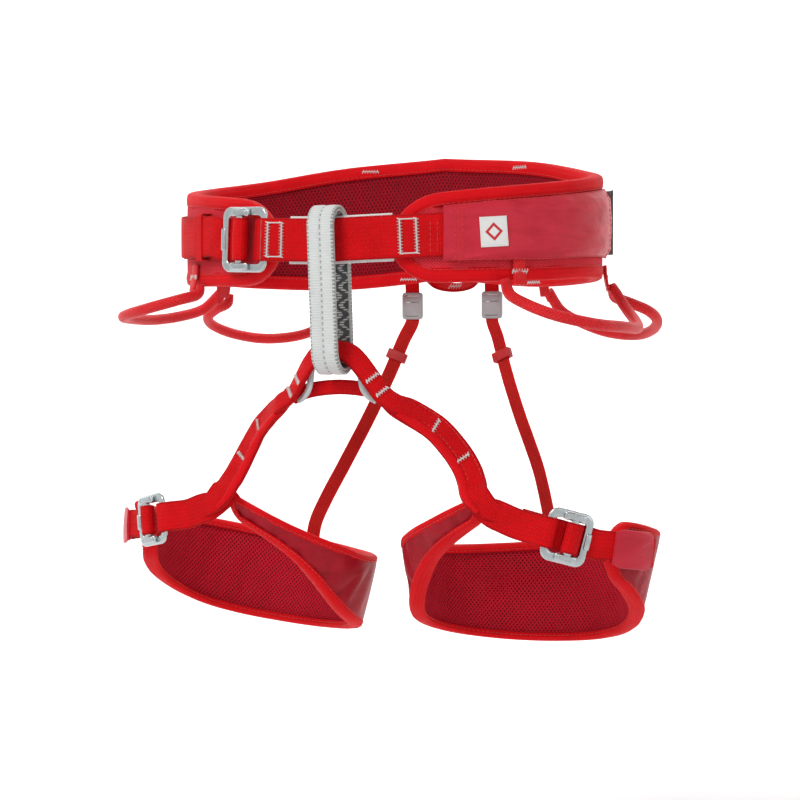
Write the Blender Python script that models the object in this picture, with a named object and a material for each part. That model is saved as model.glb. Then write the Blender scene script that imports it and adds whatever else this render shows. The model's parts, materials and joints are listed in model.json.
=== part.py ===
"""A climbing harness as it sits on a wearer: waist belt, belay loop, tie-in bridge, two leg loops and risers.

Metres, +Z up. The origin is the middle of the waist opening. The front of the harness faces -Y, and the
wearer's left side is +X. Lengths below are written in millimetres and turned into metres by MM.
"""

import math

import bmesh
import bpy
from mathutils import Matrix, Vector

MM = 0.001

# ---------------------------------------------------------------- driving dimensions
# Waist pad: an ellipse in plan. A station on it is an angle, 0 at the wearer's left, 90 at the back.
WAIST_A = 139.5
WAIST_B = 105.0
WAIST_START = -74.0  # end of the left tongue
WAIST_END = 254.0  # end of the right tongue
# Turn from the middle of the back, height of the top edge, height of the bottom edge.
WAIST_EDGES = [
    (0, 60, -28), (30, 54, -35), (60, 42, -35), (90, 33, -34),
    (120, 25, -38), (145, 19, -40), (165, 13, -41),
]
WAIST_TIP = 30.0  # length over which a tongue's end is rounded
# Height of the middle of the load-bearing webbing, by the same turn from the back.
WEBBING_LINE = [(0, 14), (60, 5), (90, 1), (120, -5), (150, -10), (180, -13)]

# Leg loops: an oval in plan. Angle 0 is the outer side, 90 the back, 180 the inner side.
LEG_X = 101.0
LEG_Y = -4.0
LEG_A = 81.0
LEG_B = 68.0
LEG_START = -34.0  # outer end, next to the buckle
LEG_END = 262.0  # inner end, at the fork
LEG_EDGES = [
    (-34, -190, -224), (-18, -192, -235), (0, -196, -246), (45, -205, -268), (90, -214, -277),
    (135, -220, -276), (180, -219, -266), (200, -213, -254), (230, -199, -221), (262, -178, -194),
]
LEG_DROP = {1: 7.0, -1: 0.0}  # how much lower the middle of the lower edge hangs on each side
LEG_TAPER = 9.0  # how much smaller the lower edge is than the upper one
LEG_TIP_OUTER = 12.0
LEG_TIP_INNER = 7.0
LEG_ROLL = 3.0  # degrees that each leg loop is rolled about the line it hangs from

# Layers of a pad, as distances outwards from the inner face of its foam.
FOAM = (0.0, 5.0)
LINING = (-1.0, -0.3)
SHELL = (5.3, 6.0)
BINDING_OUT = (-2.8, 7.8)
BINDING_IN = (-1.8, 6.8)
BINDING_WIDTH = 8.0
EDGE_GAP = 2.1  # from the pad's outline to the edge of its layers

# Webbing.
WAIST_WEB = 28.0
TIE_IN_WEB = 31.0
LEG_WEB = 20.0
WEB_THICK = 1.4
TIE_IN_LAYER = 8.3  # offset of the inner face of each layer of webbing over the waist pad
MAIN_LAYER = 10.0
TAIL_LAYER = 15.6
TAIL_RADIUS = 125.0  # the loose end stands off the belt in an arc of its own
TAIL_TURN = 20.0
FRONT_LAYER = 12.2
SLEEVE_LAYER = 12.0
BELAY_WIDTH = 18.0
RISER_WIDTH = 10.0
RISER_THICK = 1.5
GEAR_RADIUS = 3.8

# Belay loop and tie-in loop, on the front of the harness.
BELAY_TOP = 9.5
BELAY_BOTTOM = -99.5
BELAY_DEPTH = 30.0
BELAY_Y = -116.0
BELAY_LEAN = 4.0  # how far the lower end stands to the wearer's left
BELAY_OUTER_THICK = 1.9
BELAY_INNER_THICK = 1.5

# The leg strap from its buckle to the fork: angle on the leg loop, distance out, height.
FORK_ROUTE = [(-79, 8.0, -194.5), (-86, 9.4, -190.5), (-93, 9.9, -186.5), (-99, 9.9, -181.5), (-102.5, 9.9, -177)]

HANG_FORK = Vector((91, -67, -184))
HANG_RISER = Vector((101, 74, -216))


# ---------------------------------------------------------------- maths
def table(rows, x, column=1):
    """A smooth curve through rows of (x, value, ...), level at both ends."""
    if x <= rows[0][0]:
        return rows[0][column]
    if x >= rows[-1][0]:
        return rows[-1][column]
    i = max(k for k in range(len(rows) - 1) if rows[k][0] <= x)
    x0, x1 = rows[i][0], rows[i + 1][0]
    y0, y1 = rows[i][column], rows[i + 1][column]
    before, after = rows[max(i - 1, 0)], rows[min(i + 2, len(rows) - 1)]
    m0 = (y1 - before[column]) / (x1 - before[0])
    m1 = (after[column] - y0) / (after[0] - x0)
    t, h = (x - x0) / (x1 - x0), x1 - x0
    return (
        (2 * t**3 - 3 * t**2 + 1) * y0 + (t**3 - 2 * t**2 + t) * h * m0
        + (3 * t**2 - 2 * t**3) * y1 + (t**3 - t**2) * h * m1
    )


def catmull(points, steps):
    """A smooth curve through the points, with a number of steps in each stretch."""
    found = []
    for i in range(len(points) - 1):
        p0, p1 = points[max(i - 1, 0)], points[i]
        p2, p3 = points[i + 1], points[min(i + 2, len(points) - 1)]
        for k in range(steps):
            t = k / steps
            found.append(
                0.5 * (2 * p1 + (p2 - p0) * t + (2 * p0 - 5 * p1 + 4 * p2 - p3) * t * t
                       + (3 * p1 - p0 - 3 * p2 + p3) * t**3)
            )
    return found + [points[-1]]


def mirrored(v, side):
    """A point or direction given for the wearer's left, moved to a side: 1 is left, -1 is right."""
    return Vector((v[0] * side, v[1], v[2]))


# ---------------------------------------------------------------- making objects
def material(name, colour, roughness, metallic=0.0):
    made = bpy.data.materials.get(name) or bpy.data.materials.new(name)
    made.use_nodes = True
    shader = made.node_tree.nodes["Principled BSDF"]
    shader.inputs["Base Color"].default_value = (*colour, 1)
    shader.inputs["Roughness"].default_value = roughness
    shader.inputs["Metallic"].default_value = metallic
    return made


def new_object(name, verts, faces, mat):
    """A mesh object from points in millimetres."""
    mesh = bpy.data.meshes.new(name)
    mesh.from_pydata([Vector(v) * MM for v in verts], [], faces)
    bm = bmesh.new()
    bm.from_mesh(mesh)
    bmesh.ops.recalc_face_normals(bm, faces=bm.faces)
    bm.to_mesh(mesh)
    bm.free()
    mesh.materials.append(mat)
    mesh.shade_smooth()
    mesh.set_sharp_from_angle(angle=math.radians(35))
    made = bpy.data.objects.new(name, mesh)
    bpy.context.scene.collection.objects.link(made)
    return made


def loft(name, rings, mat, closed=False):
    """A solid through rings with the same number of points. Its ends are capped unless it closes on itself.

    Each four-sided gap is filled by two triangles, so the facing sides of two layers can be divided alike.
    """
    n = len(rings[0])
    verts = [p for ring in rings for p in ring]
    faces = []
    for i in range(len(rings) if closed else len(rings) - 1):
        a, b = i * n, (i + 1) % len(rings) * n
        for k in range(n):
            k1 = (k + 1) % n
            faces += [(a + k, a + k1, b + k1), (a + k, b + k1, b + k)]
    if not closed:
        faces.append(tuple(range(n)))
        faces.append(tuple(len(verts) - n + k for k in range(n)))
    return new_object(name, verts, faces, mat)


def strap(name, route, width, thick, mat, steps=1, closed=False):
    """Webbing along a route of (point, normal) pairs. The normal is that of its outer face."""
    points = [Vector(p) for p, _ in route]
    normals = [Vector(n).normalized() for _, n in route]
    if closed:
        points, normals = points + points[:1], normals + normals[:1]
    line, facing = catmull(points, steps), catmull(normals, steps)
    if closed:
        line, facing = line[:-1], facing[:-1]
    rings = []
    for i, p in enumerate(line):
        before = line[i - 1] if i or closed else line[0]
        after = line[(i + 1) % len(line)] if i + 1 < len(line) or closed else line[-1]
        along = (after - before).normalized()
        across = along.cross(facing[i]).normalized() * (width / 2)
        out = across.cross(along).normalized() * (thick / 2)
        rings.append([p - across - out, p + across - out, p + across + out, p - across + out])
    return loft(name, rings, mat, closed)


def metric(place):
    """A place given in millimetres, in metres."""
    moved = place.copy()
    moved.translation = place.translation * MM
    return moved


def block(name, size, place, mat, bevel=0.0):
    """A box of size (along, across, thick) at a place (a 4x4 matrix), with its upright edges rounded."""
    bm = bmesh.new()
    bmesh.ops.create_cube(bm, size=1.0)
    bmesh.ops.scale(bm, vec=Vector(size), verts=bm.verts)
    if bevel:
        upright = [e for e in bm.edges if abs((e.verts[0].co - e.verts[1].co).z) > size[2] * 0.9]
        bmesh.ops.bevel(bm, geom=upright, offset=bevel, segments=3, profile=0.5, affect="EDGES")
    bmesh.ops.scale(bm, vec=(MM, MM, MM), verts=bm.verts)
    mesh = bpy.data.meshes.new(name)
    bm.to_mesh(mesh)
    bm.free()
    mesh.materials.append(mat)
    made = bpy.data.objects.new(name, mesh)
    made.matrix_world = metric(place)
    bpy.context.scene.collection.objects.link(made)
    return made


def cut_out(made, size, place, mat, bevel=0.0):
    """Cuts a box out of an object."""
    cutter = block(made.name + "_cutter", size, place, mat, bevel)
    cutter.hide_render = True
    cutter.display_type = "WIRE"
    cut = made.modifiers.new("cut", "BOOLEAN")
    cut.operation = "DIFFERENCE"
    cut.object = cutter


def plate(name, size, place, mat, bevel=0.0, windows=()):
    """A block with windows cut through it. A window is (along, across, length, height)."""
    made = block(name, size, place, mat, bevel)
    for x, y, length, height in windows:
        cut_out(made, (length, height, size[2] * 3), place @ Matrix.Translation((x, y, 0)), mat, 1.6)
    return made


# ---------------------------------------------------------------- pads
class Band:
    """A pad's surface: where along it (an angle), how far up it (-1 to 1) and how far out of it."""

    def __init__(self, centre, a, b, start, end, edges, turn, tips, taper=0.0, side=1):
        self.centre, self.a, self.b, self.start, self.end = centre, a, b, start, end
        self.edges, self.turn, self.tips, self.taper, self.side = edges, turn, tips, taper, side

    def normal(self, angle):
        r = math.radians(angle)
        return Vector((math.cos(r) / self.a, math.sin(r) / self.b, 0)).normalized()

    def arc(self, angle):
        """Millimetres of the plan curve for one degree, at this angle."""
        r = math.radians(angle)
        return math.hypot(self.a * math.sin(r), self.b * math.cos(r)) * math.pi / 180

    def heights(self, angle):
        where = self.turn(angle)
        return table(self.edges, where, 1), table(self.edges, where, 2)

    def point(self, angle, up, out, grow=0.0):
        """up is from -1 at the lower edge to 1 at the upper one. grow widens the pad at both edges."""
        top, bottom = self.heights(angle)
        z = (top + bottom) / 2 + up * ((top - bottom) / 2 + grow)
        r = math.radians(angle)
        p = Vector((self.centre[0] + self.a * math.cos(r), self.centre[1] + self.b * math.sin(r), z))
        p += self.normal(angle) * (out - self.taper * (1 - up) / 2)
        return mirrored(p, self.side)

    def onto(self, p, out):
        """The point of the surface next to p, which is in the band's own side, at a distance out."""
        turn = math.degrees(math.atan2((p.y - self.centre[1]) / self.b, (p.x - self.centre[0]) / self.a))
        middle = (self.start + self.end) / 2
        angle = turn + 360 * round((middle - turn) / 360)
        for _ in range(5):
            top, bottom = self.heights(angle)
            up = (2 * p.z - top - bottom) / (top - bottom)
            off = p - mirrored(self.point(angle, up, 0), self.side)
            tangent = self.normal(angle).cross(Vector((0, 0, -1)))
            angle += off.dot(tangent) / self.arc(angle)
        return self.point(angle, up, out)

    def stations(self, count, inset=0.0):
        """(angle, share of the full height) along the pad, closer together round its ends."""
        first = self.start + self.tips[0] / self.arc(self.start)
        last = self.end - self.tips[1] / self.arc(self.end)
        tip0 = first - self.start - inset / self.arc(self.start)
        tip1 = self.end - last - inset / self.arc(self.end)
        turns = [math.radians(t) for t in (12, 34, 58)]
        found = [(first - tip0 * math.cos(t), math.sin(t)) for t in turns]
        found += [(first + (last - first) * k / count, 1.0) for k in range(count + 1)]
        found += [(last + tip1 * math.cos(t), math.sin(t)) for t in reversed(turns)]
        return found


def panel(name, band, layer, count, mat, turned=False):
    """One layer of a pad, between two distances outwards from its inner face.

    Layers that face each other are built from opposite ends, which divides their facing sides alike.
    """
    rings = []
    stations = band.stations(count, EDGE_GAP)
    for angle, share in reversed(stations) if turned else stations:
        rings.append([
            band.point(angle, up * share, out, -EDGE_GAP * share)
            for up, out in ((-1, layer[0]), (1, layer[0]), (1, layer[1]), (-1, layer[1]))
        ])
    return loft(name, rings, mat)


def points_out(band, direction, angle, share):
    """Whether a direction at the outline leads away from the middle of the pad."""
    if abs(share) > 0.8:
        return direction.z * share > 0
    ahead = mirrored(band.point(angle + 1, 0, 0) - band.point(angle - 1, 0, 0), band.side)
    return (direction.dot(ahead) > 0) == (angle > (band.start + band.end) / 2)


def binding(name, band, count, mat, slack=0.0):
    """Tape folded over the pad's whole edge: a U section swept round its outline.

    slack opens the U, where a pad is more strongly curved.
    """
    stations = band.stations(count)
    edge = [(a, s) for a, s in stations] + [(a, -s) for a, s in reversed(stations)]
    mid = (FOAM[0] + FOAM[1]) / 2
    line = [mirrored(band.point(a, s, mid), band.side) for a, s in edge]
    rings = []
    for i, (angle, share) in enumerate(edge):
        along = (line[(i + 1) % len(line)] - line[i - 1]).normalized()
        sideways = mirrored(band.point(angle + 1, share, mid) - band.point(angle - 1, share, mid), band.side)
        upwards = mirrored(band.point(angle, 1, mid) - band.point(angle, -1, mid), band.side)
        outwards = along.cross(sideways.cross(upwards)).normalized()
        if not points_out(band, outwards, angle, share):
            outwards = -outwards
        top, bottom = band.heights(angle)
        leg = min(BINDING_WIDTH, 0.3 * (top - bottom), 0.6 * min(band.tips))
        leg = max(leg, 4.0)
        section = (
            (-leg, BINDING_OUT[0] - slack), (0, BINDING_OUT[0] - slack),
            (0, BINDING_OUT[1] + slack), (-leg, BINDING_OUT[1] + slack),
            (-leg, BINDING_IN[1] + slack), (-0.9, BINDING_IN[1] + slack),
            (-0.9, BINDING_IN[0] - slack), (-leg, BINDING_IN[0] - slack),
        )
        rings.append([band.onto(line[i] + outwards * e, n) for e, n in section])
    return loft(name, rings, mat, closed=True)


# ---------------------------------------------------------------- buckles
def frame_at(origin, along, out):
    """A place whose X runs along the strap, Z points away from the wearer and Y lies across the strap."""
    x = Vector(along).normalized()
    z = (Vector(out) - x * Vector(out).dot(x)).normalized()
    y = z.cross(x)
    place = Matrix((x, y, z)).transposed().to_4x4()
    place.translation = Vector(origin)
    return place


def buckle(prefix, place, web, mats):
    """A double-back buckle. X runs from the adjustable strap to the fixed one. Returns its strap routes.

    The fixed strap is folded round the far cross-bar, and the adjustable one over the sliding bar.
    """
    length, height = web + 10, web + 15
    plate(
        prefix + "_buckle_frame", (length, height, 2.5), place @ Matrix.Translation((0, 0, 3.05)),
        mats["metal"], 6.0, [(0, 0, length - 10, web + 3)],
    )
    block(
        prefix + "_buckle_bar", (5.0, height - 3, 2.6), place @ Matrix.Translation((-2.5, 0, 5.95)),
        mats["metal"], 1.2,
    )
    near = -length / 2
    adjustable = [
        (near - 8, -0.9, 0, -1), (near, -0.8, 0, -1), (near + 6, -0.5, 0.1, -1), (-2.5, 0.4, 0.4, -1),
        (0.4, 1.9, 0.8, -0.6), (1.6, 5.0, 1, 0), (1.0, 7.7, 0.8, 0.6), (-0.6, 8.7, 0.3, 1), (-2.5, 8.9, 0, 1),
        (-4.4, 8.6, -0.3, 1), (-6.0, 7.6, -0.5, 0.9), (-7.6, 6.6, -0.3, 1), (near + 2.5, 6.1, 0, 1),
        (near - 0.3, 5.7, 0, 1),
    ]
    far = length / 2
    fixed = [
        (far - 12, -0.6, 0, -1), (far - 8.0, 0.4, -0.5, -1), (far - 6.7, 3.0, -1, 0), (far - 6.0, 5.0, -0.8, 0.6),
        (far - 4.4, 5.9, -0.3, 1), (far - 2.5, 6.1, 0, 1), (far - 0.5, 5.9, 0.3, 1), (far + 1.5, 5.2, 0.4, 1),
        (far + 6, 3.2, 0.2, 1),
    ]

    def route(rows):
        turned = place.to_3x3()
        return [(place @ Vector((s, 0, h)), turned @ Vector((ns, 0, nh))) for s, h, ns, nh in rows]

    return route(adjustable), route(fixed)


# ---------------------------------------------------------------- waist belt
def waist_band():
    return Band(
        (0, 0), WAIST_A, WAIST_B, WAIST_START, WAIST_END, WAIST_EDGES,
        lambda angle: abs(angle - 90), (WAIST_TIP, WAIST_TIP),
    )


def waist_line(band, angle, out, lift=0.0):
    """A point and normal on the line of the load-bearing webbing, a distance out of the pad."""
    r = math.radians(angle)
    p = Vector((WAIST_A * math.cos(r), WAIST_B * math.sin(r), 0)) + band.normal(angle) * out
    p.z = table(WEBBING_LINE, abs((angle - 90 + 180) % 360 - 180)) + lift
    return p, band.normal(angle)


def build_waist(mats):
    band = waist_band()
    panel("waist_foam", band, FOAM, 46, mats["foam"])
    panel("waist_lining", band, LINING, 46, mats["lining"], turned=True)
    panel("waist_outer_shell", band, SHELL, 46, mats["shell"], turned=True)
    binding("waist_binding", band, 46, mats["binding"])

    half = WEB_THICK / 2
    place_angle = 246.0
    origin, out = waist_line(band, place_angle, MAIN_LAYER + half + 0.9)
    ahead, _ = waist_line(band, place_angle + 4, MAIN_LAYER + half + 0.9)
    place = frame_at(origin, ahead - origin, out)
    adjustable, fixed = buckle("waist", place, WAIST_WEB, mats)

    around = [waist_line(band, a, MAIN_LAYER + half) for a in range(-44, 227, 6)]
    strap("waist_load_webbing", around, WAIST_WEB, WEB_THICK, mats["webbing"])
    near = [waist_line(band, a, MAIN_LAYER + half) for a in (226.3, 230)]
    strap("waist_adjusting_strap", near + adjustable, WAIST_WEB, WEB_THICK, mats["webbing"])
    start = [waist_line(band, a, MAIN_LAYER + half) for a in (270, 266, 262, 258)]
    front = [waist_line(band, a, FRONT_LAYER + half) for a in (262, 266, 270, 276, 282, 288)]
    dive = [waist_line(band, a, MAIN_LAYER + half) for a in (296, 302, 309)]
    flipped = [(p, -n) for p, n in start]
    strap("waist_front_strap", flipped + fixed + front + dive, WAIST_WEB, WEB_THICK, mats["webbing"])
    sleeve = [waist_line(band, a, TIE_IN_LAYER + half) for a in range(259, 288, 4)]
    strap("tie_in_sleeve", sleeve, TIE_IN_WEB, WEB_THICK - 0.2, mats["belay"])
    tail = [tail_line(band, TAIL_TURN * k / 8, TAIL_LAYER + half) for k in range(9)]
    strap("waist_strap_tail", tail, WAIST_WEB - 1, WEB_THICK, mats["webbing"])
    keeper_ring(band, TAIL_TURN - 7.6, mats)
    sleeve_panel(band, mats)
    side = [waist_line(band, a, SLEEVE_LAYER + 1.9, 1.5) for a in (13, 18, 23, 28, 33)]
    strap("side_label", side, 44.0, 1.0, mats["black"])


def tail_line(band, turn, out):
    """A point and normal on the arc of the waist strap's loose end, from its far end (turn 0) to the buckle."""
    start, n0 = waist_line(band, 234.5, out)
    centre = start - n0 * TAIL_RADIUS
    normal = Matrix.Rotation(math.radians(turn - TAIL_TURN), 3, "Z") @ n0
    p = centre + normal * TAIL_RADIUS
    p.z = -7.0
    return p, normal


def keeper_ring(band, turn, mats):
    """An elastic ring round the load webbing and the loose end on the wearer's right."""
    point, normal = tail_line(band, turn, TAIL_LAYER)
    along = normal.cross(Vector((0, 0, 1)))
    corners = [(-1, -6.6), (-1, 2.2), (1, 2.2), (1, -6.6)]
    rings = []
    for shift, wall in ((-5, 0), (-5, 1), (5, 1), (5, 0)):
        ring = []
        for up, out in corners:
            depth = out + (0.7 if out > 0 else -0.8) * wall
            height = up * (WAIST_WEB / 2 + 2.6 + 0.8 * wall)
            ring.append(point + along * shift + normal * depth + Vector((0, 0, height)))
        rings.append(ring)
    return loft("waist_tail_keeper", rings, mats["elastic"], closed=True)


def sleeve_panel(band, mats):
    """The outer sleeve over the load webbing, on the wearer's left side."""
    rings = []
    for k in range(15):
        angle = -60 + k * 5
        top, bottom = band.heights(angle)
        mid, half = (top + bottom) / 2, (top - bottom) / 2 - 10
        base = waist_line(band, angle, SLEEVE_LAYER)[0]
        normal = band.normal(angle)
        ring = []
        for out, share in ((0, -1), (0, 1), (1.0, 1), (1.0, -1)):
            p = base + normal * out
            ring.append(Vector((p.x, p.y, mid + share * half)))
        rings.append(ring)
    return loft("waist_sleeve", rings, mats["shell"])


# ---------------------------------------------------------------- gear loops and haul loop
# Gear loops on the wearer's left, from front to back. Each side's front loop hangs a little differently.
GEAR_FRONT = [(110, -80, -44.5), (119, -91, -50), (143, -93, -58), (167, -77, -63), (178, -48, -64),
              (178, -15, -64), (170, 12, -60), (158, 30, -52), (149, 35, -45.5)]
GEAR_REAR = [(146, 45, -45.5), (156, 48, -49.5), (167, 56, -55), (169, 70, -61), (160, 90, -67), (142, 108, -70),
             (118, 117, -67), (98, 114.5, -59), (87, 108, -51), (82, 102.5, -45)]
FRONT_HANG = {1: 1.25, -1: 0.75}
HAUL_LOOP = [((-18, 119.5, -17), (0, 1, 0)), ((-18.5, 123.5, -24), (-0.4, 1, -0.2)),
             ((-13, 127.5, -30.5), (-0.3, 1, -0.7)), ((0, 129, -33), (0, 1, -1)),
             ((13, 127.5, -30.5), (0.3, 1, -0.7)), ((18.5, 123.5, -24), (0.4, 1, -0.2)), ((18, 119.5, -17), (0, 1, 0))]
GEAR_TABS = {"front": (-38.5, 9.0), "mid": (16.0, 13.0), "rear": (58.0, 9.0)}


def build_gear_loops(mats):
    band = waist_band()
    for word, side in (("left", 1), ("right", -1)):
        for where, points, hang in (("front", GEAR_FRONT, FRONT_HANG[side]), ("rear", GEAR_REAR, 1.0)):
            hung = [mirrored((x, y, (z + 45) * hang - 45), side) for x, y, z in points]
            tube(f"gear_loop_{where}_{word}", hung, GEAR_RADIUS, mats["gear"])
        for where, (angle, width) in GEAR_TABS.items():
            normal = mirrored(band.normal(angle), side)
            route = []
            for z, out in ((-25.5, 8.9), (-30, 9.0), (-34, 9.2), (-38.5, 9.6)):
                p = band.point(angle, 0, out)
                route.append((mirrored(Vector((p.x, p.y, z)), side), normal))
            strap(f"gear_tab_{where}_{word}", route, width, 1.6, mats["gear"], steps=1)
    strap("haul_loop", HAUL_LOOP, 9.0, 1.8, mats["webbing"])


def tube(name, points, radius, mat):
    """A round tube along a smooth curve through the points, in a curve object with filled caps."""
    line = catmull([Vector(p) for p in points], 3)
    curve = bpy.data.curves.new(name, "CURVE")
    curve.dimensions = "3D"
    spline = curve.splines.new("POLY")
    spline.points.add(len(line) - 1)
    for place, p in zip(spline.points, line):
        place.co = (*(p * MM), 1)
    curve.bevel_depth = radius * MM
    curve.bevel_resolution = 1
    curve.use_fill_caps = True
    curve.materials.append(mat)
    made = bpy.data.objects.new(name, curve)
    bpy.context.scene.collection.objects.link(made)
    return made


# ---------------------------------------------------------------- belay loop and tie-in loop
def build_belay_loop(mats):
    """Two closed bands of webbing, one inside the other."""
    reach = BELAY_DEPTH / 2
    top, bottom = BELAY_TOP - reach, BELAY_BOTTOM + reach
    for name, inset, thick in (
        ("belay_loop_outer", BELAY_OUTER_THICK / 2, BELAY_OUTER_THICK),
        ("belay_loop_inner", BELAY_OUTER_THICK + 0.3 + BELAY_INNER_THICK / 2, BELAY_INNER_THICK),
    ):
        r = reach - inset
        outline = [(180 * k / 10, top) for k in range(11)] + [(180 + 180 * k / 10, bottom) for k in range(11)]
        rings = []
        for turn, z0 in outline:
            a = math.radians(turn)
            out = Vector((0, -math.cos(a), math.sin(a)))
            p = Vector((0, BELAY_Y, z0)) + out * r
            p.x = BELAY_LEAN * (BELAY_TOP - p.z) / (BELAY_TOP - BELAY_BOTTOM)
            across, half = Vector((BELAY_WIDTH / 2, 0, 0)), out * (thick / 2)
            rings.append([p - across - half, p + across - half, p + across + half, p - across + half])
        loft(name, rings, mats["belay"], closed=True)


ARCH = [((-31, -104, -113), (-0.5, -0.8, 0.4)), ((-24, -107, -104), (-0.45, -0.8, 0.45)),
        ((-15, -111, -92), (-0.3, -0.85, 0.45)), ((-7, -113.5, -85.5), (-0.15, -0.9, 0.4)),
        ((3, -114.5, -84), (0, -0.9, 0.4)), ((13, -113.5, -85.5), (0.15, -0.9, 0.4)),
        ((20, -111, -92), (0.3, -0.85, 0.45)), ((28, -107, -104), (0.45, -0.8, 0.45)),
        ((34, -104, -113), (0.5, -0.8, 0.4))]
LOWER = [((35, -95.5, -114), (0.3, -1, -0.2)), ((22, -99.3, -109.5), (0.1, -1, -0.2)),
         ((2, -100.3, -107.5), (0, -1, -0.2)), ((-19, -99.3, -109.5), (-0.1, -1, -0.2)),
         ((-33, -95.5, -114), (-0.3, -1, -0.2))]
BRIDGE = [((40, -99, -119), (0.35, -0.85, 0.4)), ((50, -92, -125), (0.35, -0.85, 0.4)),
          ((63, -83, -135), (0.35, -0.85, 0.35)), ((74, -77, -149), (0.35, -0.85, 0.3)),
          ((81, -75.5, -160.5), (0.35, -0.85, 0.25)), ((85.5, -78.5, -169.5), (0.3, -0.9, 0.2))]


# From the middle of the arch's thickness to the middle of the guard's, with 2 more on the slopes.
GUARD_BEHIND = 3.8
GUARD_STRAIGHT = 18.0  # distance to each side over which the guard lies straight behind the arch
GUARD_TURN = 8.0  # distance over which it then moves inside the arch


def guard_point(p, normal):
    """A point of the wear guard: behind the arch in the middle, and inside it on both of its slopes."""
    aside = p.x - 3
    share = min(max((abs(aside) - GUARD_STRAIGHT) / GUARD_TURN, 0), 1)
    out = normal.normalized()
    inside = Vector((-math.copysign(8.5, aside), 0, -6.5)) * share
    return p - out * (GUARD_BEHIND + 2 * share) + inside - out * inside.dot(out)


def build_bridge(mats):
    strap("tie_in_arch", ARCH, 14.0, 3.0, mats["webbing"], steps=3)
    strap("tie_in_lower_strand", LOWER, 10.0, 2.4, mats["webbing"], steps=3)
    guard = [(guard_point(Vector(p), Vector(n)), n) for p, n in ARCH[1:-1]]
    strap("tie_in_wear_guard", guard, 12.0, 1.6, mats["guard"], steps=3)
    for word, side in (("left", 1), ("right", -1)):
        route = [(mirrored(p, side), mirrored(n, side)) for p, n in BRIDGE]
        strap(f"bridge_strap_{word}", route, LEG_WEB - 1, 4.0, mats["webbing"], steps=3)


# ---------------------------------------------------------------- leg loops
def leg_edges(side):
    """Heights of a leg loop's edges. The lower edge hangs lower in its middle on one side."""
    span = LEG_END - LEG_START
    return [(a, top, low - LEG_DROP[side] * math.sin(math.pi * (a - LEG_START) / span)) for a, top, low in LEG_EDGES]


def build_leg(word, side, mats):
    """One leg loop: pad, buckle and straps, rolled about the line that it hangs from."""
    before = set(bpy.data.objects)
    band = Band(
        (LEG_X, LEG_Y), LEG_A, LEG_B, LEG_START, LEG_END, leg_edges(side), lambda angle: angle,
        (LEG_TIP_OUTER, LEG_TIP_INNER), LEG_TAPER, side,
    )
    panel(f"leg_foam_{word}", band, FOAM, 40, mats["foam"])
    panel(f"leg_lining_{word}", band, LINING, 40, mats["lining"], turned=True)
    panel(f"leg_outer_shell_{word}", band, SHELL, 40, mats["shell"], turned=True)
    binding(f"leg_binding_{word}", band, 40, mats["binding"], slack=0.6)

    def on_front(angle, out, z):
        r = math.radians(angle)
        p = Vector((LEG_X + LEG_A * math.cos(r), LEG_Y + LEG_B * math.sin(r), z)) + band.normal(angle) * out
        return mirrored(p, side), mirrored(band.normal(angle), side)

    origin, out = on_front(-58, 6.5, -201)
    ahead, _ = on_front(-66, 7.0, -198.5)
    place = frame_at(origin, ahead - origin, out)
    adjustable, fixed = buckle(f"leg_{word}", place, LEG_WEB, mats)
    anchor = [on_front(-8, 9.2, -210), on_front(-20, 9.4, -209), on_front(-32, 9.5, -207)]
    strap(f"leg_anchor_strap_{word}", anchor + adjustable, LEG_WEB, WEB_THICK, mats["webbing"])
    after = [on_front(a, out, z) for a, out, z in FORK_ROUTE]
    lead = [on_front(-79, 3.6, -194)]
    flipped = [(p, -n) for p, n in lead]
    strap(f"leg_front_strap_{word}", flipped + fixed + after, LEG_WEB, WEB_THICK, mats["webbing"])
    tail = [on_front(a, 11.9, z) for a, z in ((-32, -207), (-22, -209.5), (-12, -211), (-2, -212.5), (8, -214))]
    strap(f"leg_strap_tail_{word}", tail, LEG_WEB - 1, WEB_THICK, mats["webbing"])

    line = (mirrored(HANG_RISER, side) - mirrored(HANG_FORK, side)).normalized()
    pivot = mirrored(HANG_FORK, side) * MM
    roll = Matrix.Translation(pivot) @ Matrix.Rotation(math.radians(LEG_ROLL), 4, line) @ Matrix.Translation(-pivot)
    for made in set(bpy.data.objects) - before:
        made.matrix_world = roll @ made.matrix_world


# ---------------------------------------------------------------- risers
RISER = [(31.5, 121.2, -59.5), (37, 118, -72), (45, 112, -95), (58, 104, -127), (74, 95, -162),
         (84, 84, -187), (90, 76.5, -206), (92, 74.5, -224)]


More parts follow.
